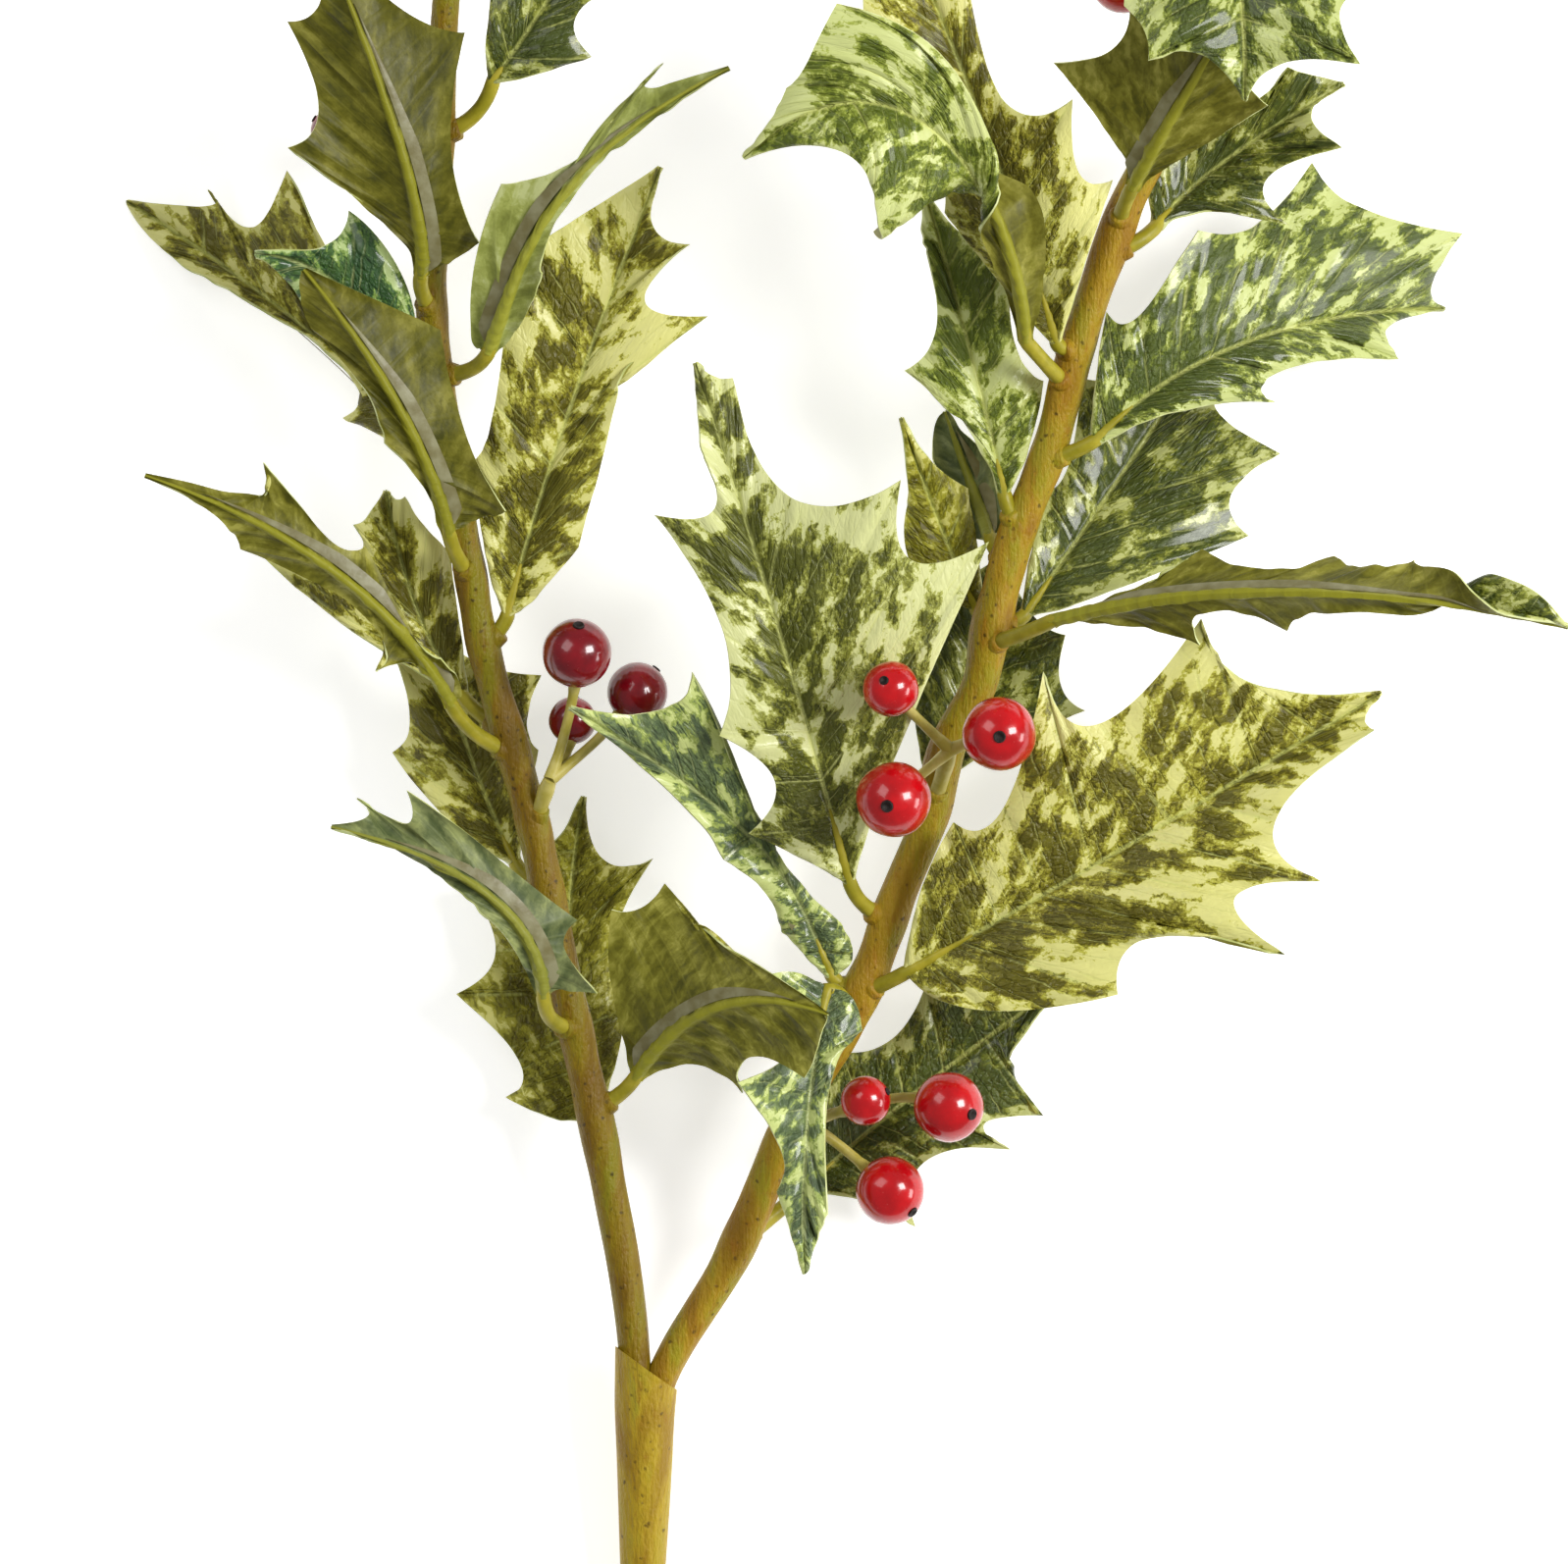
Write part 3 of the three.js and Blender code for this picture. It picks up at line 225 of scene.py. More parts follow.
# Where each leaf leaves its branch, its midrib, and its left and right edges, valleys and spines in turn.
LEAVES = [
  # left_leaf_01 lies under the left branch; the darker tones of its olive look are partly painted shade.
  leaf_row("left", 1, "olive", 57.5, [[-27.5, 60.5, 9], [-30, 83, 5], [-27.8, 105.6, 8]],
    [[-33, 60.8], [-38.8, 63.6], [-37, 68.5], [-45.7, 77.8], [-40.3, 84], [-44.5, 94], [-34, 98]],
    [[-23.5, 67], [-22, 76], [-24, 84], [-18, 97.5], [-25, 97]]),
  leaf_row("left", 2, "olive", 62, [[-20.5, 66.8, 18], [-9, 76.5, 29], [6, 75.5, 36]],
    [[-14, 67.8], [-5.5, 64.6], [-6, 69], [2, 67], [5, 71]],
    [[-23.5, 73], [-24.2, 90], [-21, 89.7], [-18.5, 92.8], [-9, 85]], roll=OVER),
  leaf_row("left", 3, "grey", 73.5, [[-33.3, 78, 25], [-41, 92, 31], [-62.5, 101.4, 32]],
    [[-30.5, 78.5], [-25.7, 78.7], [-30, 84], [-28.2, 87.8], [-37.5, 95.5], [-52, 106.5], [-52, 102],
     [-59, 105.5], [-57.5, 103]],
    [[-36, 82], [-41, 89], [-45, 92.5], [-50, 96.5], [-57, 99.5]], roll=OVER, knee=[-33, 73.5, 22]),
  leaf_row("left", 4, "yellow", 92.5, [[-37.3, 96.5, 15], [-43.5, 111, 12], [-49, 129, 11]],
    [[-46, 101.5], [-54.5, 111.7], [-52, 116], [-54, 124.5], [-52, 126]],
    [[-35.5, 103], [-34, 112], [-35.5, 116], [-33.5, 122.3], [-42, 124]]),
  leaf_row("left", 5, "olive", 111.5, [[-46, 118.3, 28], [-62, 136.5, 36], [-88, 149.8, 38]],
    [[-44.5, 121], [-47.5, 125], [-51.5, 128.5], [-57.3, 140], [-62.5, 141], [-71.6, 151.8], [-73, 147.2]],
    [[-50, 123.5], [-56.5, 123], [-57, 129.5], [-74.8, 139.5], [-78, 144]], roll=OVER),
  leaf_row("left", 6, "yellow", 115, [[-44.5, 119.5, 20], [-51, 132, 20], [-55, 148, 24]],
    [[-55, 125.2], [-72, 138.6], [-60, 139], [-59.8, 144], [-57.5, 145]],
    [[-44.5, 127], [-46, 139], [-49.5, 143], [-52.5, 147.7], [-54, 147]]),
  leaf_row("left", 7, "yellow", 126.5, [[-38.2, 131, 24], [-30, 158, 27], [-17, 192.5, 30]],
    [[-41.5, 140], [-43, 152], [-40, 160], [-37.5, 180], [-28, 186]],
    [[-34, 133.5], [-28.3, 140], [-25, 152], [-22.7, 162], [-20, 166], [-10.4, 171.8], [-19, 174],
     [-12.7, 182], [-18, 184.5]]),
  leaf_row("left", 8, "mid", 136, [[-46.3, 142, 32], [-53, 159, 42], [-66, 178, 44]],
    [[-41, 143.5], [-38.3, 145.2], [-43.5, 155], [-47, 169.5], [-55, 173.5]],
    [[-49, 147], [-55, 154.5], [-57.5, 161], [-65, 170], [-66.5, 174.5]], roll=OVER),
  leaf_row("left", 9, "yellow", 145, [[-47.8, 149, 24], [-63, 167.5, 15], [-91.5, 188.5, 0]],
    [[-53, 153.5], [-61.3, 158.2], [-60, 163.5], [-72, 177.5], [-82, 186]],
    [[-47.5, 157], [-56, 172], [-61, 178], [-68, 192], [-73, 184.5], [-80, 190.2], [-80, 187.5]]),
  leaf_row("left", 10, "blue", 157.5, [[-52, 166, 31], [-62, 176.5, 33], [-73, 180.5, 34]],
    [[-57, 169], [-66, 173], [-70, 178]],
    [[-52, 176], [-60, 186.5], [-64, 181.5]]),
  leaf_row("left", 11, "pale", 164,
    [[-40.7, 167, 34], [-36, 179, 41], [-27, 192, 46], [-7.5, 205.6, 47]],
    [[-36, 171], [-33, 178], [-32.5, 182], [-26.5, 191.5], [-20, 199]],
    [[-43.5, 171], [-38.8, 190], [-31.5, 191.5], [-24.5, 196.5], [-22, 201], [-16.5, 206.3], [-18.5, 203]],
    roll=OVER, knee=[-42.5, 163.5, 31]),
  leaf_row("left", 12, "mid", 172.5, [[-50, 177.5, 36], [-52.5, 194, 44], [-63.5, 224, 48]],
    [[-46.5, 178.5], [-41.8, 181.8], [-45.5, 194], [-43.6, 210.3], [-52, 213.5]],
    [[-55, 184], [-68.3, 194.7], [-64, 199.5], [-68.3, 211.8], [-63.8, 214.5]], roll=OVER),
  leaf_row("left", 13, "dark", 197, [[-40, 204.5, 36], [-34, 213, 38], [-24, 229, 38]],
    [[-41, 209], [-40, 218], [-34, 220], [-33, 228], [-29, 227]],
    [[-34.5, 205], [-26.5, 207.4], [-28.5, 213], [-21, 218], [-25, 222]], knee=[-41.5, 198.5, 34]),
  leaf_row("left", 14, "green", 222, [[-49.5, 226, 38], [-58, 240, 41], [-68, 257, 38]],
    [[-56, 230], [-67, 236], [-66, 243], [-75, 250], [-71, 253]],
    [[-50, 233], [-47, 243], [-54, 246], [-57, 258], [-64, 255]]),
  leaf_row("left", 15, "yellow", 236.5, [[-43.5, 241, 39], [-38, 256, 42], [-31, 275, 38]],
    [[-46, 248], [-52, 257], [-45, 261], [-45, 272], [-36, 271]],
    [[-37, 244], [-26, 248], [-29, 256], [-20, 263], [-27, 268]]),
  leaf_row("right", 1, "dark", 43.5, [[1.5, 50, 9], [21, 66.5, 5.5], [41, 81, 9]],
    [[5, 62], [8, 70], [15, 72], [20, 80], [28, 79]],
    [[10, 49.5], [18.2, 45.6], [19.5, 54.5], [31.6, 56.4], [28, 60], [36.2, 61], [31, 68]]),
  leaf_row("right", 2, "grey", 72.5, [[6, 79, 21], [3.2, 60, 25], [2.8, 39.6, 24]],
    [[9.5, 77.5], [11, 73.5], [6.5, 66], [6, 48], [4.5, 44]],
    [[0, 81.5], [-7.3, 77], [1, 71], [-6.5, 65.3], [-0.5, 57], [-1, 51], [1, 45]],
    fold=[4, 25], curl=[0, 0], knee=[10.5, 77.5, 20]),
  leaf_row("right", 3, "yellow", 78.5, [[17, 81.3, 22], [49.5, 100, 28], [82.5, 120, 29]],
    [[19.5, 94], [23.6, 102.5], [30.5, 104.5], [36, 123.3], [43.5, 116], [57.5, 130.5], [64.5, 121.5]],
    [[28, 76], [46.5, 78.2], [51, 86], [69.5, 83.7], [62.5, 91.5], [74.3, 93.7], [68, 102], [81.5, 114.7],
     [80.3, 116.5]], knee=[14, 79.5, 20]),
  leaf_row("right", 4, "grey", 79, [[6.5, 81, 17], [1.5, 92, 19], [-8, 103, 22], [-29.5, 117.8, 38]],
    [[2.5, 84], [-0.3, 86.8], [-2.5, 92], [-8.6, 97.2], [-19.5, 109.5]],
    [[9.5, 84], [8, 88], [-2.5, 100.5], [-14, 123.7], [-18, 118]]),
  leaf_row("right", 5, "pale", 88.5, [[9, 94, 22.5], [-1, 129.5, 33], [-12.2, 165.4, 35]],
    [[4, 96.5], [-5, 100.5], [-1.5, 108], [-9.2, 114.5], [-8.5, 128], [-18, 144.3], [-10, 145],
     [-11.2, 152], [-12, 158.5]],
    [[15.5, 112], [28.5, 141], [17.5, 139], [16.3, 149.6], [1, 147.2], [-6.9, 163.3], [-9.8, 163.6]]),
  leaf_row("right", 6, "dark", 110, [[21, 108, 15], [26, 121, 12], [30.5, 139, 12]],
    [[18.5, 112], [17.6, 124], [21, 127], [20, 134], [25, 136]],
    [[30, 112], [42, 117.4], [38.5, 121], [39.2, 128], [34.5, 131]]),
  leaf_row("right", 7, "dark", 126.5, [[37, 129.8, 33], [70, 133.6, 47], [107.5, 128.7, 50]],
    [[45, 129], [54.4, 126.4], [57, 131], [67, 128.7], [74, 131], [90, 129.5], [98, 127.6]],
    [[47, 134], [55, 139.3], [65, 136.8], [74, 138.6], [79, 137.2], [86, 138], [91.5, 134.5]],
    roll=[180, 330], twist=[0.7, 0.9], fold=[55, 55], curl=[0, 0], knee=[33, 128, 30]),
  leaf_row("right", 8, "dark", 129.5, [[33.5, 131, 23], [46, 149, 17], [58, 167, 10]],
    [[34, 140], [35.5, 148], [39, 151], [40.5, 163], [48, 163]],
    [[45, 133.5], [64.5, 141.5], [61.8, 146.8], [68.3, 152], [60, 158.5], [64, 165], [59.5, 164]]),
  leaf_row("right", 9, "olive", 131, [[26.5, 132, 17], [21.5, 143.5, 21], [16.2, 158, 26]],
    [[18, 137], [17, 145], [17, 149]],
    [[27, 139], [25.5, 148], [20.5, 152]]),
  leaf_row("right", 10, "grey", 137.5, [[28.5, 141.5, 20], [25.5, 150, 16], [22.3, 159, 16]],
    [[30, 146], [29, 153], [25, 156]],
    [[23.5, 144], [21.5, 150], [20.6, 155]], roll=OVER),
  leaf_row("right", 11, "green", 142.5, [[30.4, 147.5, 27], [26, 166, 27], [19.5, 189, 30]],
    [[25, 157], [16.5, 164.4], [20.8, 170], [19.5, 181], [19, 184]],
    [[34, 154], [36, 163], [32, 168], [31, 180], [25, 183]]),
  leaf_row("right", 12, "mid", 152, [[43, 154.8, 29.5], [64, 168.5, 23], [92, 173.6, 0]],
    [[42.8, 163], [44.2, 172.6], [48.5, 172], [55.4, 183.3], [64, 184.5], [72.7, 193.6], [79, 187],
     [94, 184], [89.3, 177.5]],
    [[54, 158.5], [68.2, 160.2], [67.5, 163.8], [83.7, 166.1], [83.5, 170.5]], knee=[40, 153, 29]),
  leaf_row("right", 13, "green", 162.5,
    [[33.2, 168.5, 37], [27.5, 188, 52], [14, 200, 61], [-5.5, 193, 57]],
    [[36, 176], [35.5, 188], [20, 184], [12.8, 182.3], [11.5, 188.5]],
    [[29, 178], [24, 187], [27, 198], [7.2, 214], [3.5, 206.5], [0.3, 202.6], [-2, 198]],
    roll=[180, 360], twist=[0.22, 0.44], knee=[36.5, 164.5, 34]),
  leaf_row("right", 14, "yellow", 168, [[37.5, 168.5, 32], [28.5, 195, 40], [16, 226, 44]],
    [[30, 176], [22, 186], [20, 196], [12, 206], [11, 218]],
    [[41, 178], [45.4, 190.6], [40.5, 192], [39.6, 202], [30, 202], [25, 222], [19, 222]]),
  leaf_row("right", 15, "dark", 180.5, [[51.5, 184.5, 29], [61, 193.5, 25], [77.5, 204, 27]],
    [[51, 193], [58, 201], [64, 201], [70, 206.5], [73, 205.5]],
    [[58, 186], [70, 184.5], [66.6, 190.5], [77.5, 195.4], [73, 200]]),
  leaf_row("right", 16, "olive", 184.5, [[48, 189.5, 39], [54, 200, 48], [62, 213.5, 54]],
    [[54, 192.5], [66.5, 200.4], [63, 205], [67, 212], [64, 211]],
    [[44.8, 195], [36.8, 206.4], [45, 208], [46.5, 216], [55, 213]], roll=OVER),
  leaf_row("right", 17, "yellow", 226, [[66, 229.5, 40], [76, 240, 41], [90, 252, 36]],
    [[65, 238], [65, 247], [72, 247], [75, 257], [82, 252]],
    [[74, 230], [85, 229], [83, 237], [95, 241], [89, 247]]),
  leaf_row("right", 18, "mid", 231, [[61, 228, 52], [62.5, 214, 62], [63, 200.8, 60]],
    [[72, 224], [79.5, 216], [76, 212], [78.8, 206.3], [68, 206]],
    [[50, 222], [46.3, 213.5], [49, 210], [49.5, 206.6], [57, 207]]),
  leaf_row("right", 19, "green", 238.5, [[63, 243.5, 41], [59, 258, 44], [55, 277, 40]],
    [[57, 248], [46, 253], [52, 260], [42, 268], [52, 271]],
    [[67, 250], [75, 257], [66, 261], [69, 272], [60, 271]]),
]


def cluster_row(number, branch, at, hub, *berries):
    return Record(name=f"berry_cluster_{number}", branch=branch, at=at, hub=np.array(hub), berries=berries)


# Where each cluster leaves its branch and splits, and each berry's middle, its radius and how it faces.
BERRY_CLUSTERS = [
  cluster_row(1, "right", 57.5, [3.4, 60.3, 19],
    ([11.3, 63.5, 24], 3.45, [0.8, 0.35, 0.3]),
    ([22.8, 62.6, 21], 4.85, [0.66, -0.2, 0.72]),
    ([14.7, 51, 20], 4.75, [0.65, -0.62, 0.43])),
  cluster_row(2, "left", 101.5, [-32.3, 108, 25],
    ([-28.6, 125.4, 30], 4.8, [0.06, 0.79, 0.61]),
    ([-29.3, 116.1, 20.5], 3.3, [0.15, 0.95, -0.3]),
    ([-20.3, 120, 21], 4.2, [0.6, 0.75, -0.15])),
  cluster_row(3, "right", 104.5, [23, 112, 29.5],
    ([14.7, 120.4, 41], 3.85, [-0.25, 0.3, 0.92]),
    ([29.6, 114.2, 41], 5.1, [0, -0.08, 1]),
    ([15.1, 105.2, 38], 5.2, [-0.18, -0.18, 0.97])),
  cluster_row(4, "left", 181.5, [-53, 187.5, 25],
    ([-62.2, 197.6, 24], 3.3, [-0.8, 0.5, 0.1]),
    ([-56.5, 203.5, 22], 4.2, [-0.2, 0.95, 0.1]),
    ([-51.5, 197, 17], 4.5, [0.3, 0.6, -0.6])),
  cluster_row(5, "right", 209, [54.5, 214, 35],
    ([46.8, 218.2, 40], 4.9, [-0.7, 0.2, 0.65]),
    ([54, 227, 45], 4.3, [0.1, 0.8, 0.6]),
    ([46, 229, 38], 4.0, [-0.2, 0.8, 0.5])),
]

# ---- curves and frames ----

UP = np.array([0.0, 0.0, 1.0])


def between(a, b, share):
    return a + (b - a) * share


def smooth_step(x):
    x = np.clip(x, 0, 1)
    return x * x * (3 - 2 * x)


def unit(vectors):
    return vectors / np.linalg.norm(vectors, axis=-1, keepdims=True)


def along_list(values, share):
    """The value of a list of numbers, evenly spaced from 0 to 1, at each share."""
    return np.interp(share, np.linspace(0, 1, len(values)), values)


def curve(points, t):
    """Where the smooth curve through evenly spaced points is at each t (Neville's scheme)."""
    t = np.asarray(t, float)[..., None]
    last = len(points) - 1
    row = [np.asarray(point, float) + 0 * t for point in points]
    for level in range(1, last + 1):
        row = [between(row[i], row[i + 1], (t * last - i) / level) for i in range(last - level + 1)]
    return row[0]


def curve_direction(points, t):
    step = 0.001
    return unit(curve(points, t + step) - curve(points, t - step))


def midrib_length(leaf):
    samples = curve(leaf.midrib, np.linspace(0, 1, MIDRIB_SAMPLES))
    return np.linalg.norm(np.diff(samples, axis=0), axis=1).sum()


def turn_angles(count):
    return np.linspace(0, 2 * math.pi, count, endpoint=False)


def circle(angles, across, above):
    return np.cos(angles)[:, None] * across + np.sin(angles)[:, None] * above


def bend_points(start, handle, end, count):
    """Points on the parabola from start to end that leans on handle."""
    u = np.linspace(0, 1, count)[:, None]
    return (1 - u) ** 2 * start + 2 * u * (1 - u) * handle + u**2 * end


# ---- meshes ----


class Shell:
    """One closed surface: points in mm, and faces with the material slot of each.

    Of its maps, place and veins hold coordinates in mm for patterns, and mark holds two masks.
    """

    def __init__(self, points, faces, slots, maps=None):
        nothing = np.zeros((len(points), 2))
        self.points = np.asarray(points, float)
        self.faces = faces
        self.slots = slots
        self.maps = {name: nothing for name in MAPS} | (maps or {})


def slab(top, bottom, slots, places=None, marks=None):
    """A closed sheet between two grids of points. slots names the material of top, bottom and rim."""
    rows, columns = top.shape[:2]
    count = rows * columns
    index = np.arange(count).reshape(rows, columns)
    a, b, c, d = index[:-1, :-1], index[:-1, 1:], index[1:, 1:], index[1:, :-1]
    upper = np.stack([a, b, c, d], -1).reshape(-1, 4)
    lower = upper[:, ::-1] + count
    loop = np.concatenate([index[0, :-1], index[:-1, -1], index[-1, :0:-1], index[:0:-1, 0]])
    ahead = np.roll(loop, -1)
    rim = np.stack([ahead, loop, loop + count, ahead + count], -1)
    faces = np.concatenate([upper, lower, rim]).tolist()
    face_slots = [slots[0]] * len(upper) + [slots[1]] * len(lower) + [slots[2]] * len(rim)
    points = np.concatenate([top.reshape(-1, 3), bottom.reshape(-1, 3)])
    maps = {name: np.tile(grid.reshape(-1, 2), (2, 1)) for name, grid in (places or {}).items()}
    if marks is not None:
        maps["mark"] = np.concatenate([mark.reshape(-1, 2) for mark in marks])
    return Shell(points, faces, face_slots, maps)


def rings(centres, rows, slot):
    """A closed surface through rings of points, with a flat fan at each end."""
    rows = np.array(rows)
    count, sides = rows.shape[:2]
    index = np.arange(count * sides).reshape(count, sides)
    turned = np.roll(index, -1, axis=1)
    quads = np.stack([index[:-1], turned[:-1], turned[1:], index[1:]], -1).reshape(-1, 4).tolist()
    first, last = count * sides, count * sides + 1
    fans = [[turned[0, i], index[0, i], first] for i in range(sides)]
    fans += [[index[-1, i], turned[-1, i], last] for i in range(sides)]
    points = np.concatenate([rows.reshape(-1, 3), centres[:1], centres[-1:]])
    faces = quads + [[int(i) for i in fan] for fan in fans]
    return Shell(points, faces, [slot] * len(faces))


def tube(path, radii, sides, slot, lump=0.0, phase=0.0):
    """A round tube, its radii spread along a path. lump makes it uneven, by a share of its radius."""
    path = np.asarray(path, float)
    radii = along_list(radii, np.linspace(0, 1, len(path)))
    directions = unit(np.gradient(path, axis=0))
    angles = turn_angles(sides)
    across = unit(np.cross(UP, directions[0]))
    rows = []
    for i, (point, direction) in enumerate(zip(path, directions)):
        across = unit(across - direction * across.dot(direction))
        above = np.cross(direction, across)
        uneven = np.sin(angles * 3 + i * 0.31 + phase) + np.sin(angles * 5 - i * 0.47 + phase * 2)
        reach = (radii[i] * (1 + lump * uneven))[:, None]
        rows.append(point + reach * circle(angles, across, above))
    return rings(path, rows, slot)


def add_object(name, data):
    made = bpy.data.objects.new(name, data)
    bpy.context.scene.collection.objects.link(made)
    return made


def make_piece(name, shells, materials, replaced):
    """Joins shells into one object that stands for a node of the frame."""
    points, faces, slots = [], [], []
    for part in shells:
        start = sum(len(block) for block in points)
        points.append(part.points)
        faces += [[start + corner for corner in face] for face in part.faces]
        slots += part.slots
    mesh = bpy.data.meshes.new(name)
    points = np.clip((np.concatenate(points) - PLAN_MIDDLE) * MM, *cad_box)
    mesh.from_pydata(points.tolist(), [], faces)
    corners = np.zeros(len(mesh.loops), dtype=np.int32)
    mesh.loops.foreach_get("vertex_index", corners)
    for map_name in MAPS:
        values = np.concatenate([part.maps[map_name] for part in shells])
        layer = mesh.uv_layers.new(name=map_name)
        layer.uv.foreach_set("vector", values[corners].astype(np.float32).ravel())
    mesh.polygons.foreach_set("material_index", slots)
    mesh.polygons.foreach_set("use_smooth", [True] * len(faces))
    mesh.set_sharp_from_angle(angle=math.radians(SHARP_ANGLE))
    for material in materials:
        mesh.materials.append(material)
    piece = add_object(name, mesh)
    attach(piece, "root")
    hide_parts(replaced)


# ---- materials ----


def colour(hex_code):
    """A colour as linear red, green, blue and alpha, from its usual six digits."""
    channels = [int(hex_code[i : i + 2], 16) / 255 for i in (0, 2, 4)]
    return tuple(c / 12.92 if c <= 0.04045 else ((c + 0.055) / 1.055) ** 2.4 for c in channels) + (1.0,)


class Paint:
    """Builds one material's node tree. Most methods return an output socket."""

    def __init__(self, name, specular, **settings):
        self.material = bpy.data.materials.new(name)
        self.material.use_nodes = True
        self.tree = self.material.node_tree
        self.shader = self.tree.nodes["Principled BSDF"]
        self.shader.inputs["Specular IOR Level"].default_value = specular
        for socket, value in settings.items():
            self.shader.inputs[socket.replace("_", " ")].default_value = value

    def put(self, socket, value):
        if isinstance(value, bpy.types.NodeSocket):
            self.tree.links.new(value, socket)
        else:
            socket.default_value = value

    def node(self, kind, inputs, **settings):
        made = self.tree.nodes.new("ShaderNode" + kind)
        for name, value in settings.items():
            setattr(made, name, value)
        for key, value in inputs.items():
            self.put(made.inputs[key], value)
        return made.outputs

    def math(self, operation, a, b=0.0, clamp=False):
        return self.node("Math", {0: a, 1: b}, operation=operation, use_clamp=clamp)[0]

    def total(self, *terms):
        """The sum of value and weight pairs."""
        result = 0.0
        for value, weight in terms:
            inputs = {0: value, 1: weight, 2: result}
            result = self.node("Math", inputs, operation="MULTIPLY_ADD")[0]
        return result

    def times(self, a, b):
        return self.math("MULTIPLY", a, b)

    def scaled(self, vector, factors):
        """The vector times one factor, or one for each of its directions."""
        factors = factors if isinstance(factors, tuple) else (factors, factors, factors)
        return self.node("VectorMath", {0: vector, 1: factors}, operation="MULTIPLY")[0]

    def map(self, name):
        return self.node("UVMap", {}, uv_map=name)[0]

    def parts(self, vector):
        return self.node("SeparateXYZ", {0: vector})

    def object_place(self):
        """Coordinates of the object itself, in mm."""
        place = self.node("TexCoord", {})["Object"]
        return self.scaled(place, 1 / MM)

    def noise(self, vector, factors, detail=2.0, roughness=0.5):
        inputs = {"Vector": self.scaled(vector, factors), "Scale": 1.0}
        return self.node("TexNoise", {**inputs, "Detail": detail, "Roughness": roughness})[0]

    def cells(self, vector, scale, feature="F1"):
        return self.node("TexVoronoi", {"Vector": vector, "Scale": scale}, feature=feature)[0]

    def shaken(self, vector, amount, factors):
        """The vector moved about by a noise, so that patterns lose their straight edges."""
        wobble = self.node("TexNoise", {"Vector": self.scaled(vector, factors), "Scale": 1.0})[1]
        offset = self.node("VectorMath", {0: wobble, 1: (0.5, 0.5, 0.5)}, operation="SUBTRACT")[0]
        moved = self.scaled(offset, amount)
        return self.node("VectorMath", {0: vector, 1: moved}, operation="ADD")[0]

    def stripes(self, value):
        """A wave from -1 to 1 over each step between two fine side veins."""
        return self.math("SINE", self.times(value, 2 * math.pi / FINE_VEIN_STEP))

    def ramp(self, value, *stops):
        """Colours along a value, from pairs of position and colour or grey."""
        output = self.node("ValToRGB", {"Fac": value})[0]
        elements = output.node.color_ramp.elements
        elements[0].position = stops[0][0]
        elements[1].position = stops[-1][0]
        for position, _ in stops[1:-1]:
            elements.new(position)
        for element, (_, shade) in zip(elements, stops):
            element.color = colour(shade) if isinstance(shade, str) else (shade, shade, shade, 1.0)
        return output

    def mix(self, share, a, b):
        """Colour a where share is 0, b where it is 1. The node's colour sockets are its 7th and 8th."""
        a, b = (colour(value) if isinstance(value, str) else value for value in (a, b))
        return self.node("Mix", {0: share, 6: a, 7: b}, data_type="RGBA")[2]

    def bump(self, height, depth_mm, strength=1.0):
        inputs = {"Height": height, "Distance": depth_mm * MM, "Strength": strength}
        self.put(self.shader.inputs["Normal"], self.node("Bump", inputs)["Normal"])

    def finish(self, base, roughness):
        self.put(self.shader.inputs["Base Color"], base)
        self.put(self.shader.inputs["Roughness"], roughness)
        return self.material


def mottling(paint, place, tones, contrast):
    """How dark a leaf is at each point, from 0, cream, to 1, dark: patches, and streaks along its veins."""
    share = paint.parts(paint.map("mark"))[0]
    size = tones.patch
    space = paint.shaken(paint.object_place(), 2.4, 0.5)
    patches = paint.noise(space, 0.13 / size, 1.0)
    ways = paint.parts(paint.shaken(paint.map("veins"), 2.0, (0.5, 0.5, 1)))
    side = paint.math("SIGN", paint.parts(place)[0])
    veins = paint.node("CombineXYZ", {0: ways[0], 1: ways[1], 2: side})[0]
    streaks = paint.noise(veins, (0.15 / size, 0.42 / size, 7.3), 2.0, 0.55)
    fine = paint.noise(veins, (0.45 / size, 1.0 / size, 3.7), 3.0, 0.65)
    grain = paint.noise(space, 1.7, 3.0, 0.7)
    terms = ((patches, 2.4), (streaks, 3.6), (fine, 1.5), (grain, 1.1))
    middle = sum(weight for _, weight in terms) / 2
    margin = paint.math("POWER", share, 4.0)
    value = paint.total(*terms, (margin, -0.6), (tones.cover + 0.1 - middle, 1.0))
    value = paint.total((value, contrast), (0.5 * (1 - contrast), 1.0))
    return paint.math("MULTIPLY", value, 1.0, clamp=True)


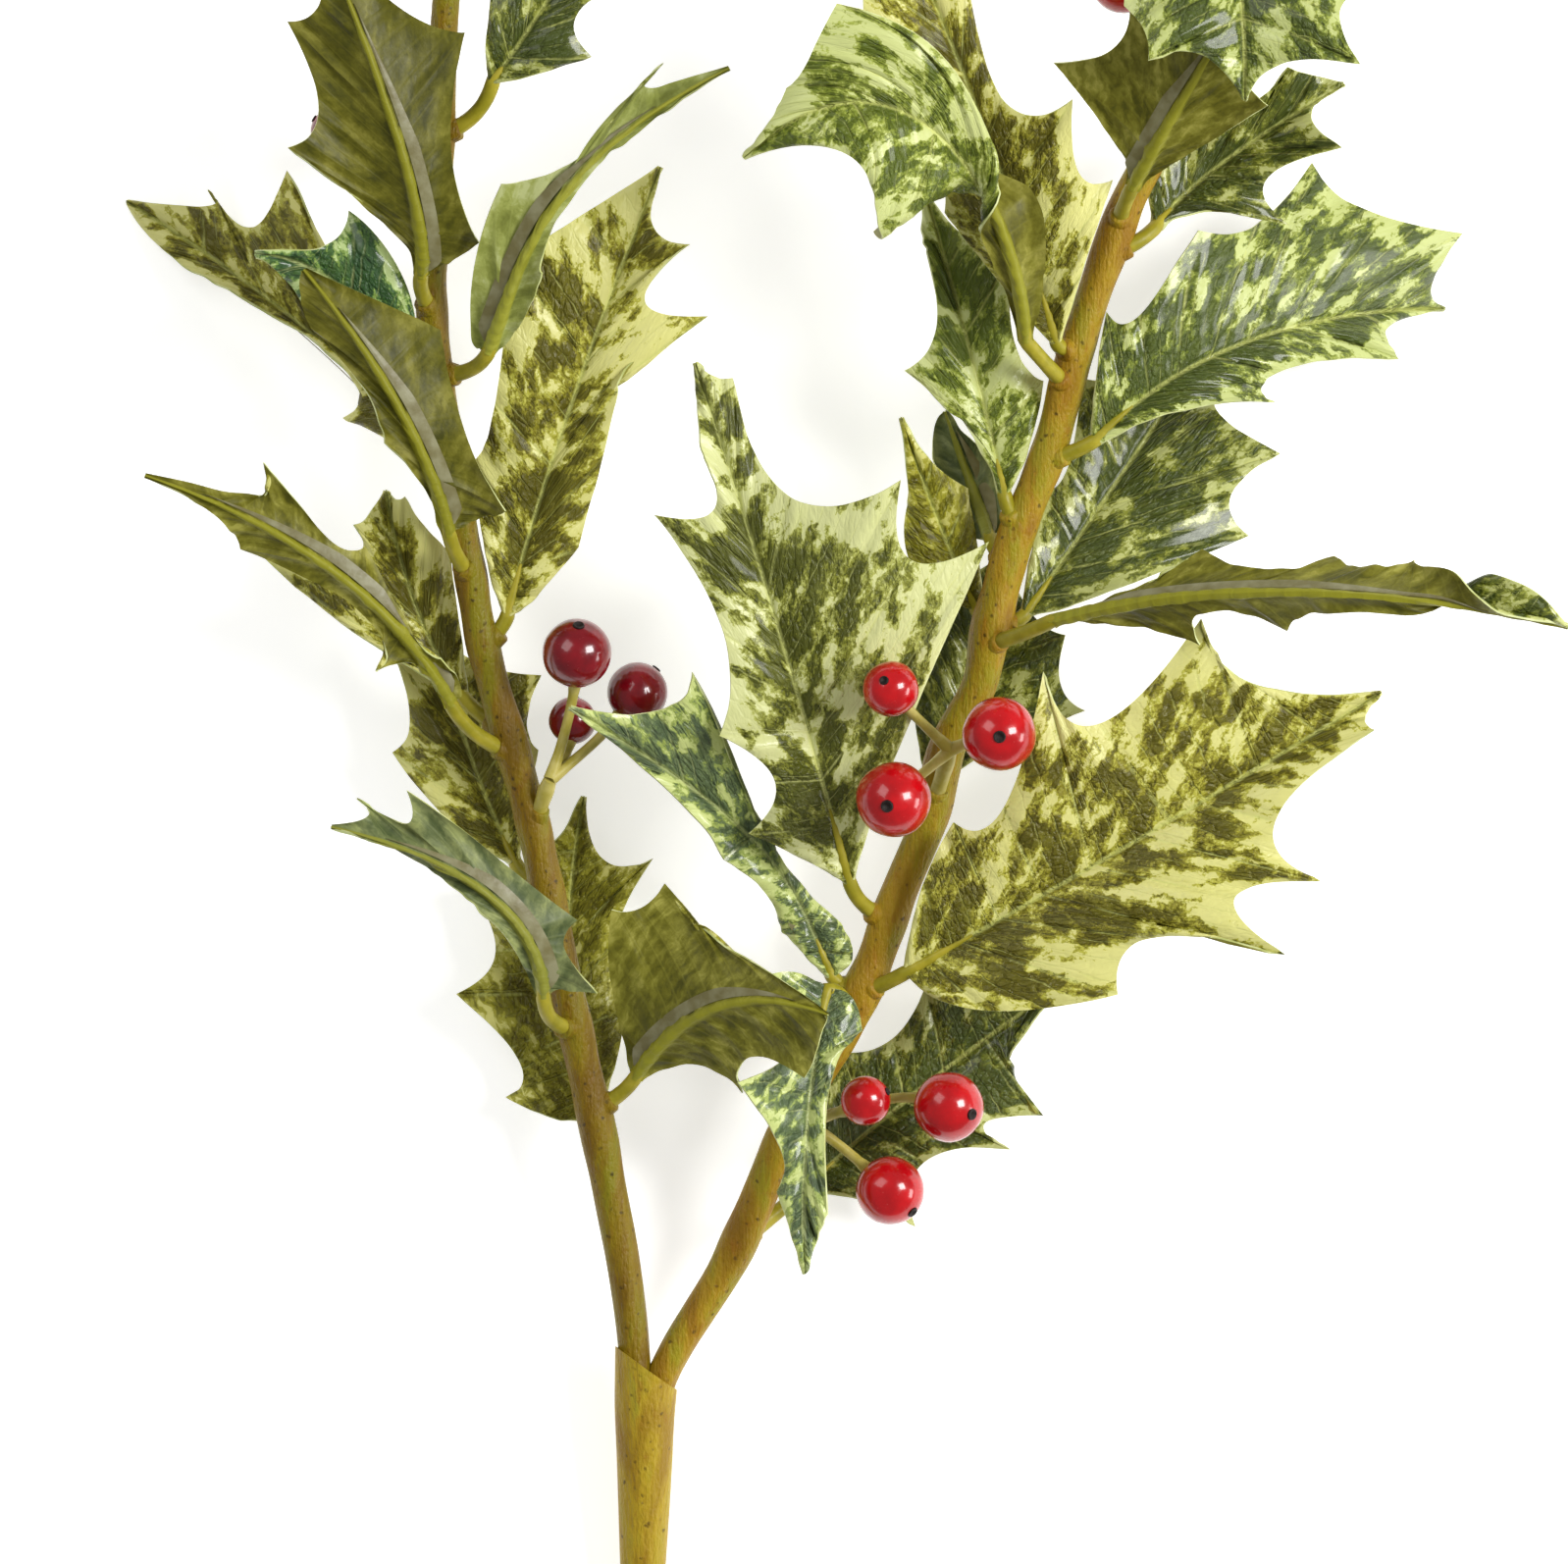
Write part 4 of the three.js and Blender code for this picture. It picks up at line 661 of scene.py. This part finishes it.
def upper_leaf(look):
    """The upper face: dark and mid green blotches on cream, glossy, quilted between fine net veins."""
    tones = tones_of(look)
    paint = Paint(f"leaf_upper_{look}", 0.25, Coat_Weight=tones.gloss, Coat_Roughness=0.14)
    place = paint.map("place")
    dark_at = mottling(paint, place, tones, tones.contrast)
    pale_stops = ((0.24, tones.cream), (0.32, tones.lime), (0.45, tones.lime))
    dark_stops = ((0.52, tones.olive), (0.68, tones.olive), (0.8, tones.dark))
    base = paint.ramp(dark_at, *pale_stops, *dark_stops)
    cloud = paint.noise(place, (0.22, 0.3, 1), 3.0)
    base = paint.mix(paint.ramp(cloud, (0.5, 0.0), (0.75, 0.25)), base, tones.lime)
    wiggly = paint.shaken(place, 1.2, (0.35, 0.35, 1))
    ways = paint.parts(wiggly)[1]
    fine_vein = paint.ramp(paint.stripes(ways), (0.93, 0.0), (1.0, 1.0))
    vein = paint.ramp(paint.parts(paint.map("mark"))[1], (0.75, 0.0), (1.0, 1.0))
    both = paint.math("MAXIMUM", paint.times(fine_vein, 0.5), vein)
    broken = paint.ramp(paint.noise(place, (0.3, 0.8, 1)), (0.42, 0.0), (0.6, 1.0))
    base = paint.mix(paint.times(paint.times(both, broken), 0.75), base, tones.vein)
    across = paint.math("ABSOLUTE", paint.parts(place)[0])
    rib = paint.times(paint.ramp(across, (0.18, 1.0), (0.5, 0.0)), 0.6)
    base = paint.mix(rib, base, tones.vein)
    net = paint.cells(paint.shaken(place, 0.6, 1), 0.75, "DISTANCE_TO_EDGE")
    cells = paint.ramp(net, (0.0, 0.0), (0.2, 1.0))
    grain = paint.noise(paint.shaken(place, 1.0, (0.8, 0.8, 1)), (2.4, 1.2, 1), 3.0)
    folds = paint.noise(paint.shaken(paint.map("veins"), 1.5, (0.5, 0.5, 1)), (0.22, 0.7, 1))
    depth = tones.gloss * FOLD_RELIEF
    relief = paint.total((cells, 0.9), (grain, 1.6), (both, -1.2), (folds, depth), (-1.5 - depth / 2, 1.0))
    smoother = paint.ramp(dark_at, (0.3, 0.2), (0.6, 1.0))
    paint.bump(paint.times(relief, smoother), 0.25, 0.9)
    patches = paint.noise(place, (0.5, 0.5, 1))
    return paint.finish(base, paint.ramp(patches, (0.3, 0.26), (0.7, 0.44)))


def under_leaf(look):
    """The underside: olive with the blotches showing through, and a yellow-green midrib."""
    tones = tones_of(look)
    paint = Paint(f"leaf_under_{look}", 0.2)
    place = paint.map("place")
    dark_at = mottling(paint, place, tones, 0.3)
    pale_stops = ((0.22, tones.under_pale), (0.42, tones.under_lime))
    base = paint.ramp(dark_at, *pale_stops, (0.6, tones.under), (0.85, tones.under_deep))
    fine_vein = paint.ramp(paint.stripes(paint.parts(place)[1]), (0.8, 0.0), (1.0, 0.35))
    base = paint.mix(fine_vein, base, tones.under_lime)
    ridge = paint.parts(paint.map("mark"))[1]
    base = paint.mix(paint.times(ridge, 0.85), base, tones.rib)
    fine = paint.noise(place, (1.2, 1.2, 1), 3.0)
    paint.bump(paint.total((fine, 1.0), (fine_vein, 1.0)), 0.12, 0.5)
    return paint.finish(base, paint.ramp(fine, (0.3, 0.4), (0.7, 0.54)))


def plain_leaf(name, base, pale, roughness):
    """A cut edge, petiole or wire strip: one colour that fades to a paler one in places."""
    paint = Paint(name, 0.25)
    place = paint.object_place()
    cloud = paint.noise(place, 0.35, 3.0)
    tone = paint.mix(paint.ramp(cloud, (0.4, 0.0), (0.65, 1.0)), base, pale)
    fine = paint.noise(place, 1.5)
    paint.bump(fine, 0.1, 0.4)
    return paint.finish(tone, paint.ramp(fine, (0.3, roughness - 0.06), (0.7, roughness + 0.06)))


def stem_material(stem):
    """Olive-brown plastic bark: soft mottling along the stem, brown stains and dark specks."""
    paint = Paint(f"stem_{stem}", 0.2)
    place = paint.object_place()
    olive, gold, brown, stained, speck = STEM_TONES[stem]
    cloud = paint.noise(place, (0.3, 0.06, 0.3), 3.0)
    base = paint.ramp(cloud, (0.36, olive), (0.5, gold), (0.64, brown))
    stain = paint.noise(place, (0.7, 0.25, 0.7), 4.0, 0.65)
    base = paint.mix(paint.ramp(stain, (0.56, 0.0), (0.68, 0.5)), base, stained)
    specks = paint.ramp(paint.cells(paint.shaken(place, 0.8, 1), 0.62), (0.1, 1.0), (0.24, 0.0))
    spotted = paint.times(specks, paint.ramp(stain, (0.42, 0.0), (0.5, 0.8)))
    base = paint.mix(spotted, base, speck)
    fibre = paint.noise(place, (2.2, 0.2, 2.2), 4.0)
    grain = paint.noise(place, (2.6, 1.3, 2.6), 3.0)
    streak = paint.ramp(fibre, (0.38, 0.35), (0.5, 0.0), (0.62, 0.0))
    base = paint.mix(streak, base, brown)
    paint.bump(paint.total((fibre, 1.0), (grain, 0.8)), 0.3, 0.8)
    return paint.finish(base, paint.ramp(grain, (0.3, 0.32), (0.7, 0.5)))


def berry_material(name, red, deep):
    """Glossy red skin, a little darker in patches, with faint pale dust specks."""
    paint = Paint(name, 0.3, Coat_Weight=0.5, Coat_Roughness=0.08)
    place = paint.object_place()
    cloud = paint.noise(place, 0.3, 3.0)
    base = paint.mix(paint.ramp(cloud, (0.4, 0.0), (0.65, 0.7)), red, deep)
    dust = paint.ramp(paint.cells(place, 0.8), (0.04, 0.3), (0.08, 0.0))
    base = paint.mix(dust, base, "d06058")
    fine = paint.noise(place, 1.1)
    paint.bump(fine, 0.06, 0.5)
    return paint.finish(base, paint.ramp(fine, (0.3, 0.16), (0.7, 0.28)))


def calyx_material():
    paint = Paint("berry_calyx", 0.3)
    fine = paint.noise(paint.object_place(), 3, 3.0)
    paint.bump(fine, 0.2, 0.8)
    return paint.finish(paint.ramp(fine, (0.3, "0c0806"), (0.7, "241610")), 0.6)


def floor_material():
    """White paper, lit from below as on a light table, so that shadows stay faint."""
    paint = Paint("pale_floor", 0.1, Emission_Color=(1, 1, 1, 1), Emission_Strength=FLOOR_GLOW)
    fine = paint.noise(paint.object_place(), 0.01)
    return paint.finish(paint.ramp(fine, (0.3, "f6f6f5"), (0.7, "f8f8f7")), 0.85)


# ---- leaves ----


class Half:
    """One half of a blade: its edge row by row, and how it bends away from the midrib."""

    def __init__(self, leaf, side, rows, fine):
        index = 0 if side == "left" else 1
        self.midrib = leaf.midrib
        self.sign = 1 if side == "left" else -1
        self.fold = math.radians(leaf.fold[index])
        self.curl = math.radians(leaf.curl[index])
        outline = [self.beside_midrib(point) for point in getattr(leaf, side)]
        valleys = np.array(outline[0::2])
        spines = np.array([(0, BASE_HALF_WIDTH)] + outline[1::2] + [(1, TIP_HALF_WIDTH)])
        count = len(valleys)
        marks = np.array([int(j * rows / count + 0.5) for j in range(count + 1)])
        t = np.linspace(0, rows, rows * fine + 1)
        j = np.searchsorted(marks[1:-1], t, side="right")
        u = (t - marks[j]) / (marks[j + 1] - marks[j])
        handles = 2 * valleys - (spines[:-1] + spines[1:]) / 2
        w = u[:, None]
        edge = (1 - w) ** 2 * spines[j] + 2 * w * (1 - w) * handles[j] + w**2 * spines[j + 1]
        self.along, self.out = edge[:, 0], edge[:, 1]
        self.widest = self.out[::fine].max()
        stretch = j + u
        fade = np.minimum(1, stretch) * np.minimum(1, (count - stretch) * TIP_FADE)
        self.wave = SPINE_WAVE * fade * np.cos(math.pi * stretch)
        self.vein_rows = sorted(marks[1:-1].tolist() + ((marks[:-1] + marks[1:]) / 2).tolist())

    def beside_midrib(self, point):
        """A plan point as its share along the midrib and its distance from it over the blade."""
        samples = np.linspace(0, 1, FOOT_SAMPLES)
        distances = np.hypot(*(curve(self.midrib, samples)[:, :2] - point).T)
        nearest = int(distances.argmin())
        return samples[nearest], distances[nearest] / math.cos(abs(self.fold + self.curl / 2))


def leaf_frame(leaf, along):
    """Directions at a share of the midrib: forward, out of the upper face, and to the leaf's left."""
    forward = curve_direction(leaf.midrib, along)
    start, end = leaf.twist
    turn = smooth_step((along - start) / (end - start))
    turned = np.radians(between(*leaf.roll, turn))[..., None]
    level = unit(UP - forward * forward[..., 2:3])
    upper = level * np.cos(turned) + np.cross(forward, level) * np.sin(turned)
    return upper, np.cross(upper, forward)


def blade_points(leaf, half, along, out):
    """Points of the blade's middle surface, and the directions out of its upper face there."""
    upper, left = leaf_frame(leaf, along)
    bend = half.curl * out / half.widest
    chord = np.where(abs(bend) > 1e-6, 2 * out * np.sin(bend / 2) / np.where(bend == 0, 1, bend), out)
    lean = half.fold + bend / 2
    side = (half.sign * chord * np.cos(lean))[..., None]
    rise = (chord * np.sin(lean))[..., None]
    steep = (half.fold + bend)[..., None]
    outward = upper * np.cos(steep) - half.sign * left * np.sin(steep)
    return curve(leaf.midrib, along) + left * side + upper * rise, upper, outward


def blade_shell(leaf, halves, rows, fine, phase):
    """The blade: spiny and wavy at its edges, quilted between the veins, with the midrib's ridge below."""
    count = rows * fine + 1
    t = np.linspace(0, rows, count)
    length = midrib_length(leaf)
    row_length = length / rows
    shares = np.linspace(0, 1, HALF_COLUMNS + 1) ** COLUMN_CROWDING
    blocks = []
    for half in halves:
        s = np.broadcast_to(shares, (count, len(shares)))
        root = ((t / rows) ** ROOT_LAG)[:, None]
        along = between(root, half.along[:, None], s)
        out = half.out[:, None] * s
        points, upper, _ = blade_points(leaf, half, along, out)
        points = points + upper * (half.wave[:, None] * s**2)[..., None]
        vein = sum(np.exp(-(((t - row) * row_length / VEIN_WIDTH) ** 2)) for row in half.vein_rows)
        vein = np.broadcast_to(np.clip(vein, 0, 1)[:, None], s.shape)
        across = half.sign * out
        block = [points, along, across, s, vein]
        blocks.append([a[:, :0:-1] for a in block] if half.sign > 0 else block)
    points, along, across, s, vein = (np.concatenate(pair, axis=1) for pair in zip(*blocks))
    right = np.gradient(points, axis=1)
    ahead = np.gradient(points, axis=0)
    normals = unit(np.cross(right, ahead))
    ways = t[:, None] * row_length
    inner = s * (1 - s**3) * 2
    swell = QUILTING * (1 - vein) * np.clip(inner, 0, 1)
    ripple = np.sin(across * 1.1 + ways * 0.7 + phase) * np.sin(ways * 1.3 - across * 0.5 + phase * 3)
    swell += PUCKER * ripple
    rolling = np.sin(ways * 0.62 + phase * 2) + 0.6 * np.sin(ways * 1.35 + phase * 5 + np.sign(across))
    swell += EDGE_RIPPLE * rolling * s**2 * (1 - s**8 * 0.5)
    thickness = between(BLADE_THICKNESS, EDGE_THICKNESS, s**6)
    groove = GROOVE_DEPTH * np.exp(-((across / GROOVE_WIDTH) ** 2))
    ended = np.clip(along / RIDGE_END, 0, 1)
    ridge_width = between(*RIDGE_WIDTHS, ended)
    ridge_shape = np.sqrt(np.clip(1 - (across / ridge_width) ** 2, 0, 1))
    ridge = between(*RIDGE_HEIGHTS, ended) * ridge_shape
    top = points + normals * (swell + thickness / 2 - groove)[..., None]
    bottom = points + normals * (swell - thickness / 2 - ridge)[..., None]
    seed = phase * 37
    place = np.stack([across + 0 * ways, ways + 0 * across + seed], -1)
    slant = math.radians(VEIN_SLANT)
    towards_tip = along * length
    beside = abs(across)
    along_veins = towards_tip * math.cos(slant) + beside * math.sin(slant)
    over_veins = towards_tip * math.sin(slant) - beside * math.cos(slant)
    veins = np.stack([along_veins, over_veins + seed], -1)
    marks = [np.stack([s, vein], -1), np.stack([s, np.clip(ridge_shape * 2, 0, 1)], -1)]
    return slab(top, bottom, (0, 1, 2), {"place": place, "veins": veins}, marks)


def strip_shell(leaf, half):
    """The grey strip under the blade, beside the midrib, that holds the wire."""
    start, end = STRIP_SPAN
    along = np.linspace(start, end, 40)[:, None]
    edges = np.linspace(0, 1, 5)[None, :]
    taper = np.clip((end - along) / STRIP_POINT, 0.02, 1) * np.sqrt(np.clip((along - start) / 0.04, 0.1, 1))
    order = np.argsort(half.along)
    room = np.interp(along, half.along[order], half.out[order]) * 0.8
    width = np.minimum(STRIP_WIDTH * taper, np.maximum(room - STRIP_OFFSET, 0.1))
    out = STRIP_OFFSET * (0.6 + 0.4 * taper) + width * edges
    points, _, outward = blade_points(leaf, half, along + 0 * out, out)
    crown = 0.5 + 0.5 * np.sin(math.pi * edges)
    inner = points - outward * (BLADE_THICKNESS * 0.3)
    outer = points - outward * (BLADE_THICKNESS / 2 + STRIP_HEIGHT * crown)[..., None]
    if half.sign > 0:
        inner, outer = inner[:, ::-1], outer[:, ::-1]
    return slab(inner, outer, (4, 4, 4))


def petiole_path(leaf):
    """The petiole's centre line, from the branch to the foot of the blade and in under it."""
    foot = np.array(leaf.midrib[0], float)
    centre, _ = stem_at(leaf.branch, leaf.at)
    reach = np.linalg.norm(foot - centre)
    straight = foot - curve_direction(leaf.midrib, np.array(0.0)) * PETIOLE_LEAD * reach
    knee = np.array(leaf.knee or straight, float)
    under = curve(leaf.midrib, np.linspace(0, PETIOLE_UNDER, 7)[1:])
    return np.concatenate([bend_points(centre, knee, foot, 18), under]), knee


def make_leaf(leaf, order):
    rows = max(len(leaf.left), len(leaf.right)) + 1
    length = midrib_length(leaf)
    fine = max(4, round(length / rows / ROW_STEP))
    halves = [Half(leaf, side, rows, fine) for side in ("left", "right")]
    path, _ = petiole_path(leaf)
    petiole = tube(path, PETIOLE_RADII, PETIOLE_SIDES, 3, lump=0.02, phase=order)
    shells = [blade_shell(leaf, halves, rows, fine, order + 1.0), petiole]
    if leaf.name not in NO_STRIP:
        shells.append(strip_shell(leaf, halves[leaf.name in STRIP_ON_RIGHT]))
    look = leaf.look
    materials = [UPPER[look], UNDER[look], edge_material, petiole_material, strip_material]
    make_piece(f"fine_{leaf.name}", shells, materials, leaf.name)


# ---- stems ----


def stem_height(y):
    return CUT_END_HEIGHT + (y - CUT_END_Y) * RISE


def stem_at(stem, y):
    """The stem's centre and radius at y, as in the solids."""
    plan = np.array(STEMS[stem]["plan"], float)
    share = (y - plan[0, 1]) / (plan[-1, 1] - plan[0, 1])
    centre = np.array([np.interp(y, plan[:, 1], plan[:, 0]), y, stem_height(y)])
    return centre, along_list(STEMS[stem]["radii"], share)


def stem_path(stem):
    """Points along a stem's centre line, rounded where its plan points bend."""
    plan = np.array(STEMS[stem]["plan"], float)
    y = np.linspace(plan[0, 1], plan[-1, 1], int((plan[-1, 1] - plan[0, 1]) / STEM_STEP) + 1)
    slopes = np.gradient(plan[:, 0], plan[:, 1])
    k = np.clip(np.searchsorted(plan[:, 1], y, side="right") - 1, 0, len(plan) - 2)
    gap = plan[k + 1, 1] - plan[k, 1]
    u = (y - plan[k, 1]) / gap
    x = (2 * u**3 - 3 * u**2 + 1) * plan[k, 0] + (u**3 - 2 * u**2 + u) * gap * slopes[k]
    x += (3 * u**2 - 2 * u**3) * plan[k + 1, 0] + (u**3 - u**2) * gap * slopes[k + 1]
    return np.stack([x, y, stem_height(y)], -1)


def make_branch(stem):
    """A branch with a swelling and a short socket wherever a leaf or berry stalk leaves it."""
    path = stem_path(stem)
    leaves = [leaf for leaf in LEAVES if leaf.branch == stem]
    clusters = [cluster for cluster in BERRY_CLUSTERS if cluster.branch == stem]
    leaving = [(leaf.at, petiole_path(leaf)[1]) for leaf in leaves]
    leaving += [(cluster.at, cluster.hub) for cluster in clusters]
    _, radii = stem_at(stem, path[:, 1])
    for at, _ in leaving:
        radii = radii + NODE_SWELL * np.exp(-(((path[:, 1] - at) / NODE_LENGTH) ** 2))
    radii[-len(BRANCH_END) :] *= BRANCH_END
    shells = [tube(path, radii, STEM_SIDES, 0, lump=0.012)]
    for at, towards in leaving:
        centre, radius = stem_at(stem, at)
        way = unit(towards - centre)
        reach = radius + SOCKET_LENGTH
        socket = [centre + way * reach * share for share in SOCKET_SHARES]
        shells.append(tube(socket, SOCKET_RADII, PETIOLE_SIDES, 0, lump=0.02, phase=at))
    make_piece(f"fine_{stem}_branch", shells, [stem_material(stem)], f"{stem}_branch")


def make_main_stem():
    """The main stem: a cut end below, and above it a collar with a thin slanted lip."""
    path = stem_path("main")
    path = path[path[:, 1] <= COLLAR_RIM_Y]
    slope = math.tan(math.radians(COLLAR_SLANT))
    angles = turn_angles(MAIN_STEM_SIDES)
    rows, centres = [], []

    def ring(centre, radius, slanted):
        across = radius * np.cos(angles)
        x = centre[0] + across
        y = centre[1] + slanted * slope * across
        z = stem_height(centre[1]) + radius * np.sin(angles) + (y - centre[1]) * RISE
        rows.append(np.stack([x, y, np.maximum(z, 0)], -1))
        centres.append(centre)

    for i, point in enumerate(path):
        share = (point[1] - CUT_END_Y) / (COLLAR_RIM_Y - CUT_END_Y)
        radius = stem_at("main", point[1])[1]
        edge = CUT_BEVEL[i] if i < len(CUT_BEVEL) else 0
        ring(point, radius - edge, share**6)
    last = path[-1]
    for drop, inset in LIP_PROFILE:
        ring(last - np.array([0, drop, 0]), stem_at("main", last[1])[1] - inset, 1)
    shell = rings(centres, rows, 0)
    make_piece("fine_main_stem", [shell], [stem_material("main")], "main_stem")


# ---- berries ----


def berry_shell(berry):
    """A round berry, a little uneven, with a dimple round a small dark calyx."""
    middle, radius, faces = berry
    axis = unit(np.array(faces, float))
    across = unit(np.cross(axis, UP + 0.01))
    above = np.cross(axis, across)
    angles = turn_angles(BERRY_SIDES)
    turns = np.linspace(*BERRY_TURNS, BERRY_RINGS)
    profile = [(math.sin(turn), -math.cos(turn)) for turn in turns] + list(CALYX_PROFILE)
    rows, centres = [], []
    for out, up in profile:
        uneven = 1 + 0.008 * np.sin(3 * angles + 4 * up) + 0.006 * np.sin(5 * angles - 3 * up)
        reach = (radius * out * uneven)[:, None]
        centre = np.array(middle) + axis * radius * up
        rows.append(centre + reach * circle(angles, across, above))
        centres.append(centre)
    shell = rings(centres, rows, 0)
    first_dark = BERRY_RINGS * BERRY_SIDES
    shell.slots = [1 if min(face) >= first_dark else 0 for face in shell.faces]
    return shell


def make_cluster(cluster):
    """The stalk with its twigs, and each berry at a twig's end."""
    centre, _ = stem_at(cluster.branch, cluster.at)
    trunk = bend_points(centre, (centre + cluster.hub) / 2, cluster.hub, 10)
    shells = [tube(trunk, TRUNK_RADII, PETIOLE_SIDES, 0, lump=0.03)]
    for order, (middle, radius, faces) in enumerate(cluster.berries):
        back = -unit(np.array(faces, float))
        end = np.array(middle) + back * (radius + SEAT_GAP)
        handle = end + back * np.linalg.norm(end - cluster.hub) * TWIG_LEAD
        path = bend_points(cluster.hub, handle, end - back * SEAT_GAP * 1.5, 16)
        shells.append(tube(path, TWIG_RADII, TWIG_SIDES, 0, lump=0.03, phase=order))
    stalk = f"{cluster.name}_stalk"
    make_piece(f"fine_{stalk}", shells, [stalk_material], stalk)
    skin = dark_skin if cluster.name in DARK_CLUSTERS else bright_skin
    for order, berry in enumerate(cluster.berries):
        name = f"{cluster.name}_berry_{order + 1}"
        make_piece(f"fine_{name}", [berry_shell(berry)], [skin, calyx], name)


# ---- light, floor and camera ----


def make_floor():
    size = FLOOR_SIZE / 2
    mesh = bpy.data.meshes.new("floor")
    corners = [(-size, -size, 0), (size, -size, 0), (size, size, 0), (-size, size, 0)]
    mesh.from_pydata(corners, [], [(0, 1, 2, 3)])
    mesh.materials.append(floor_material())
    add_object("floor", mesh)


def make_lamp(name, place, size, power):
    """A soft rectangular lamp that shines at the origin."""
    lamp = bpy.data.lights.new(name, "AREA")
    lamp.shape = "RECTANGLE"
    lamp.size, lamp.size_y = size
    lamp.energy = power
    made = add_object(name, lamp)
    made.location = place
    made.rotation_euler = (-made.location).to_track_quat("-Z", "Y").to_euler()


def make_world():
    world = bpy.data.worlds.new("studio")
    world.use_nodes = True
    sky = world.node_tree.nodes["Background"].inputs
    sky["Color"].default_value = (1, 1, 1, 1)
    sky["Strength"].default_value = WORLD_STRENGTH
    bpy.context.scene.world = world


def make_camera():
    """Straight above the spray, with a long lens, as the picture frames it."""
    data = bpy.data.cameras.new("camera")
    data.sensor_width = SENSOR_WIDTH
    data.lens = SENSOR_WIDTH * CAMERA_DISTANCE / VIEW_WIDTH
    camera = add_object("camera", data)
    x, y = VIEW_MIDDLE
    camera.location = (np.array((x, y, VIEW_HEIGHT + CAMERA_DISTANCE)) - PLAN_MIDDLE) * MM
    bpy.context.scene.camera = camera


# ---- the scene ----

UPPER = {look: upper_leaf(look) for look in LOOKS}
UNDER = {look: under_leaf(look) for look in LOOKS}
edge_material = plain_leaf("leaf_edge", "a8ae66", "ccd198", 0.45)
petiole_material = plain_leaf("petiole", "8a821a", "a2962a", 0.42)
strip_material = plain_leaf("wire_strip", "6b6540", "838060", 0.4)
stalk_material = plain_leaf("berry_stalk", "a0943a", "b8ac60", 0.42)
calyx = calyx_material()
bright_skin = berry_material("berry_bright", "b60810", "94050c")
dark_skin = berry_material("berry_dark", "7a0814", "58040e")
for order, leaf in enumerate(LEAVES):
    make_leaf(leaf, order)
make_branch("left")
make_branch("right")
make_main_stem()
for cluster in BERRY_CLUSTERS:
    make_cluster(cluster)
make_floor()
make_world()
for lamp in LAMPS:
    make_lamp(*lamp)
make_camera()
bpy.context.scene.view_settings.view_transform = "Standard"
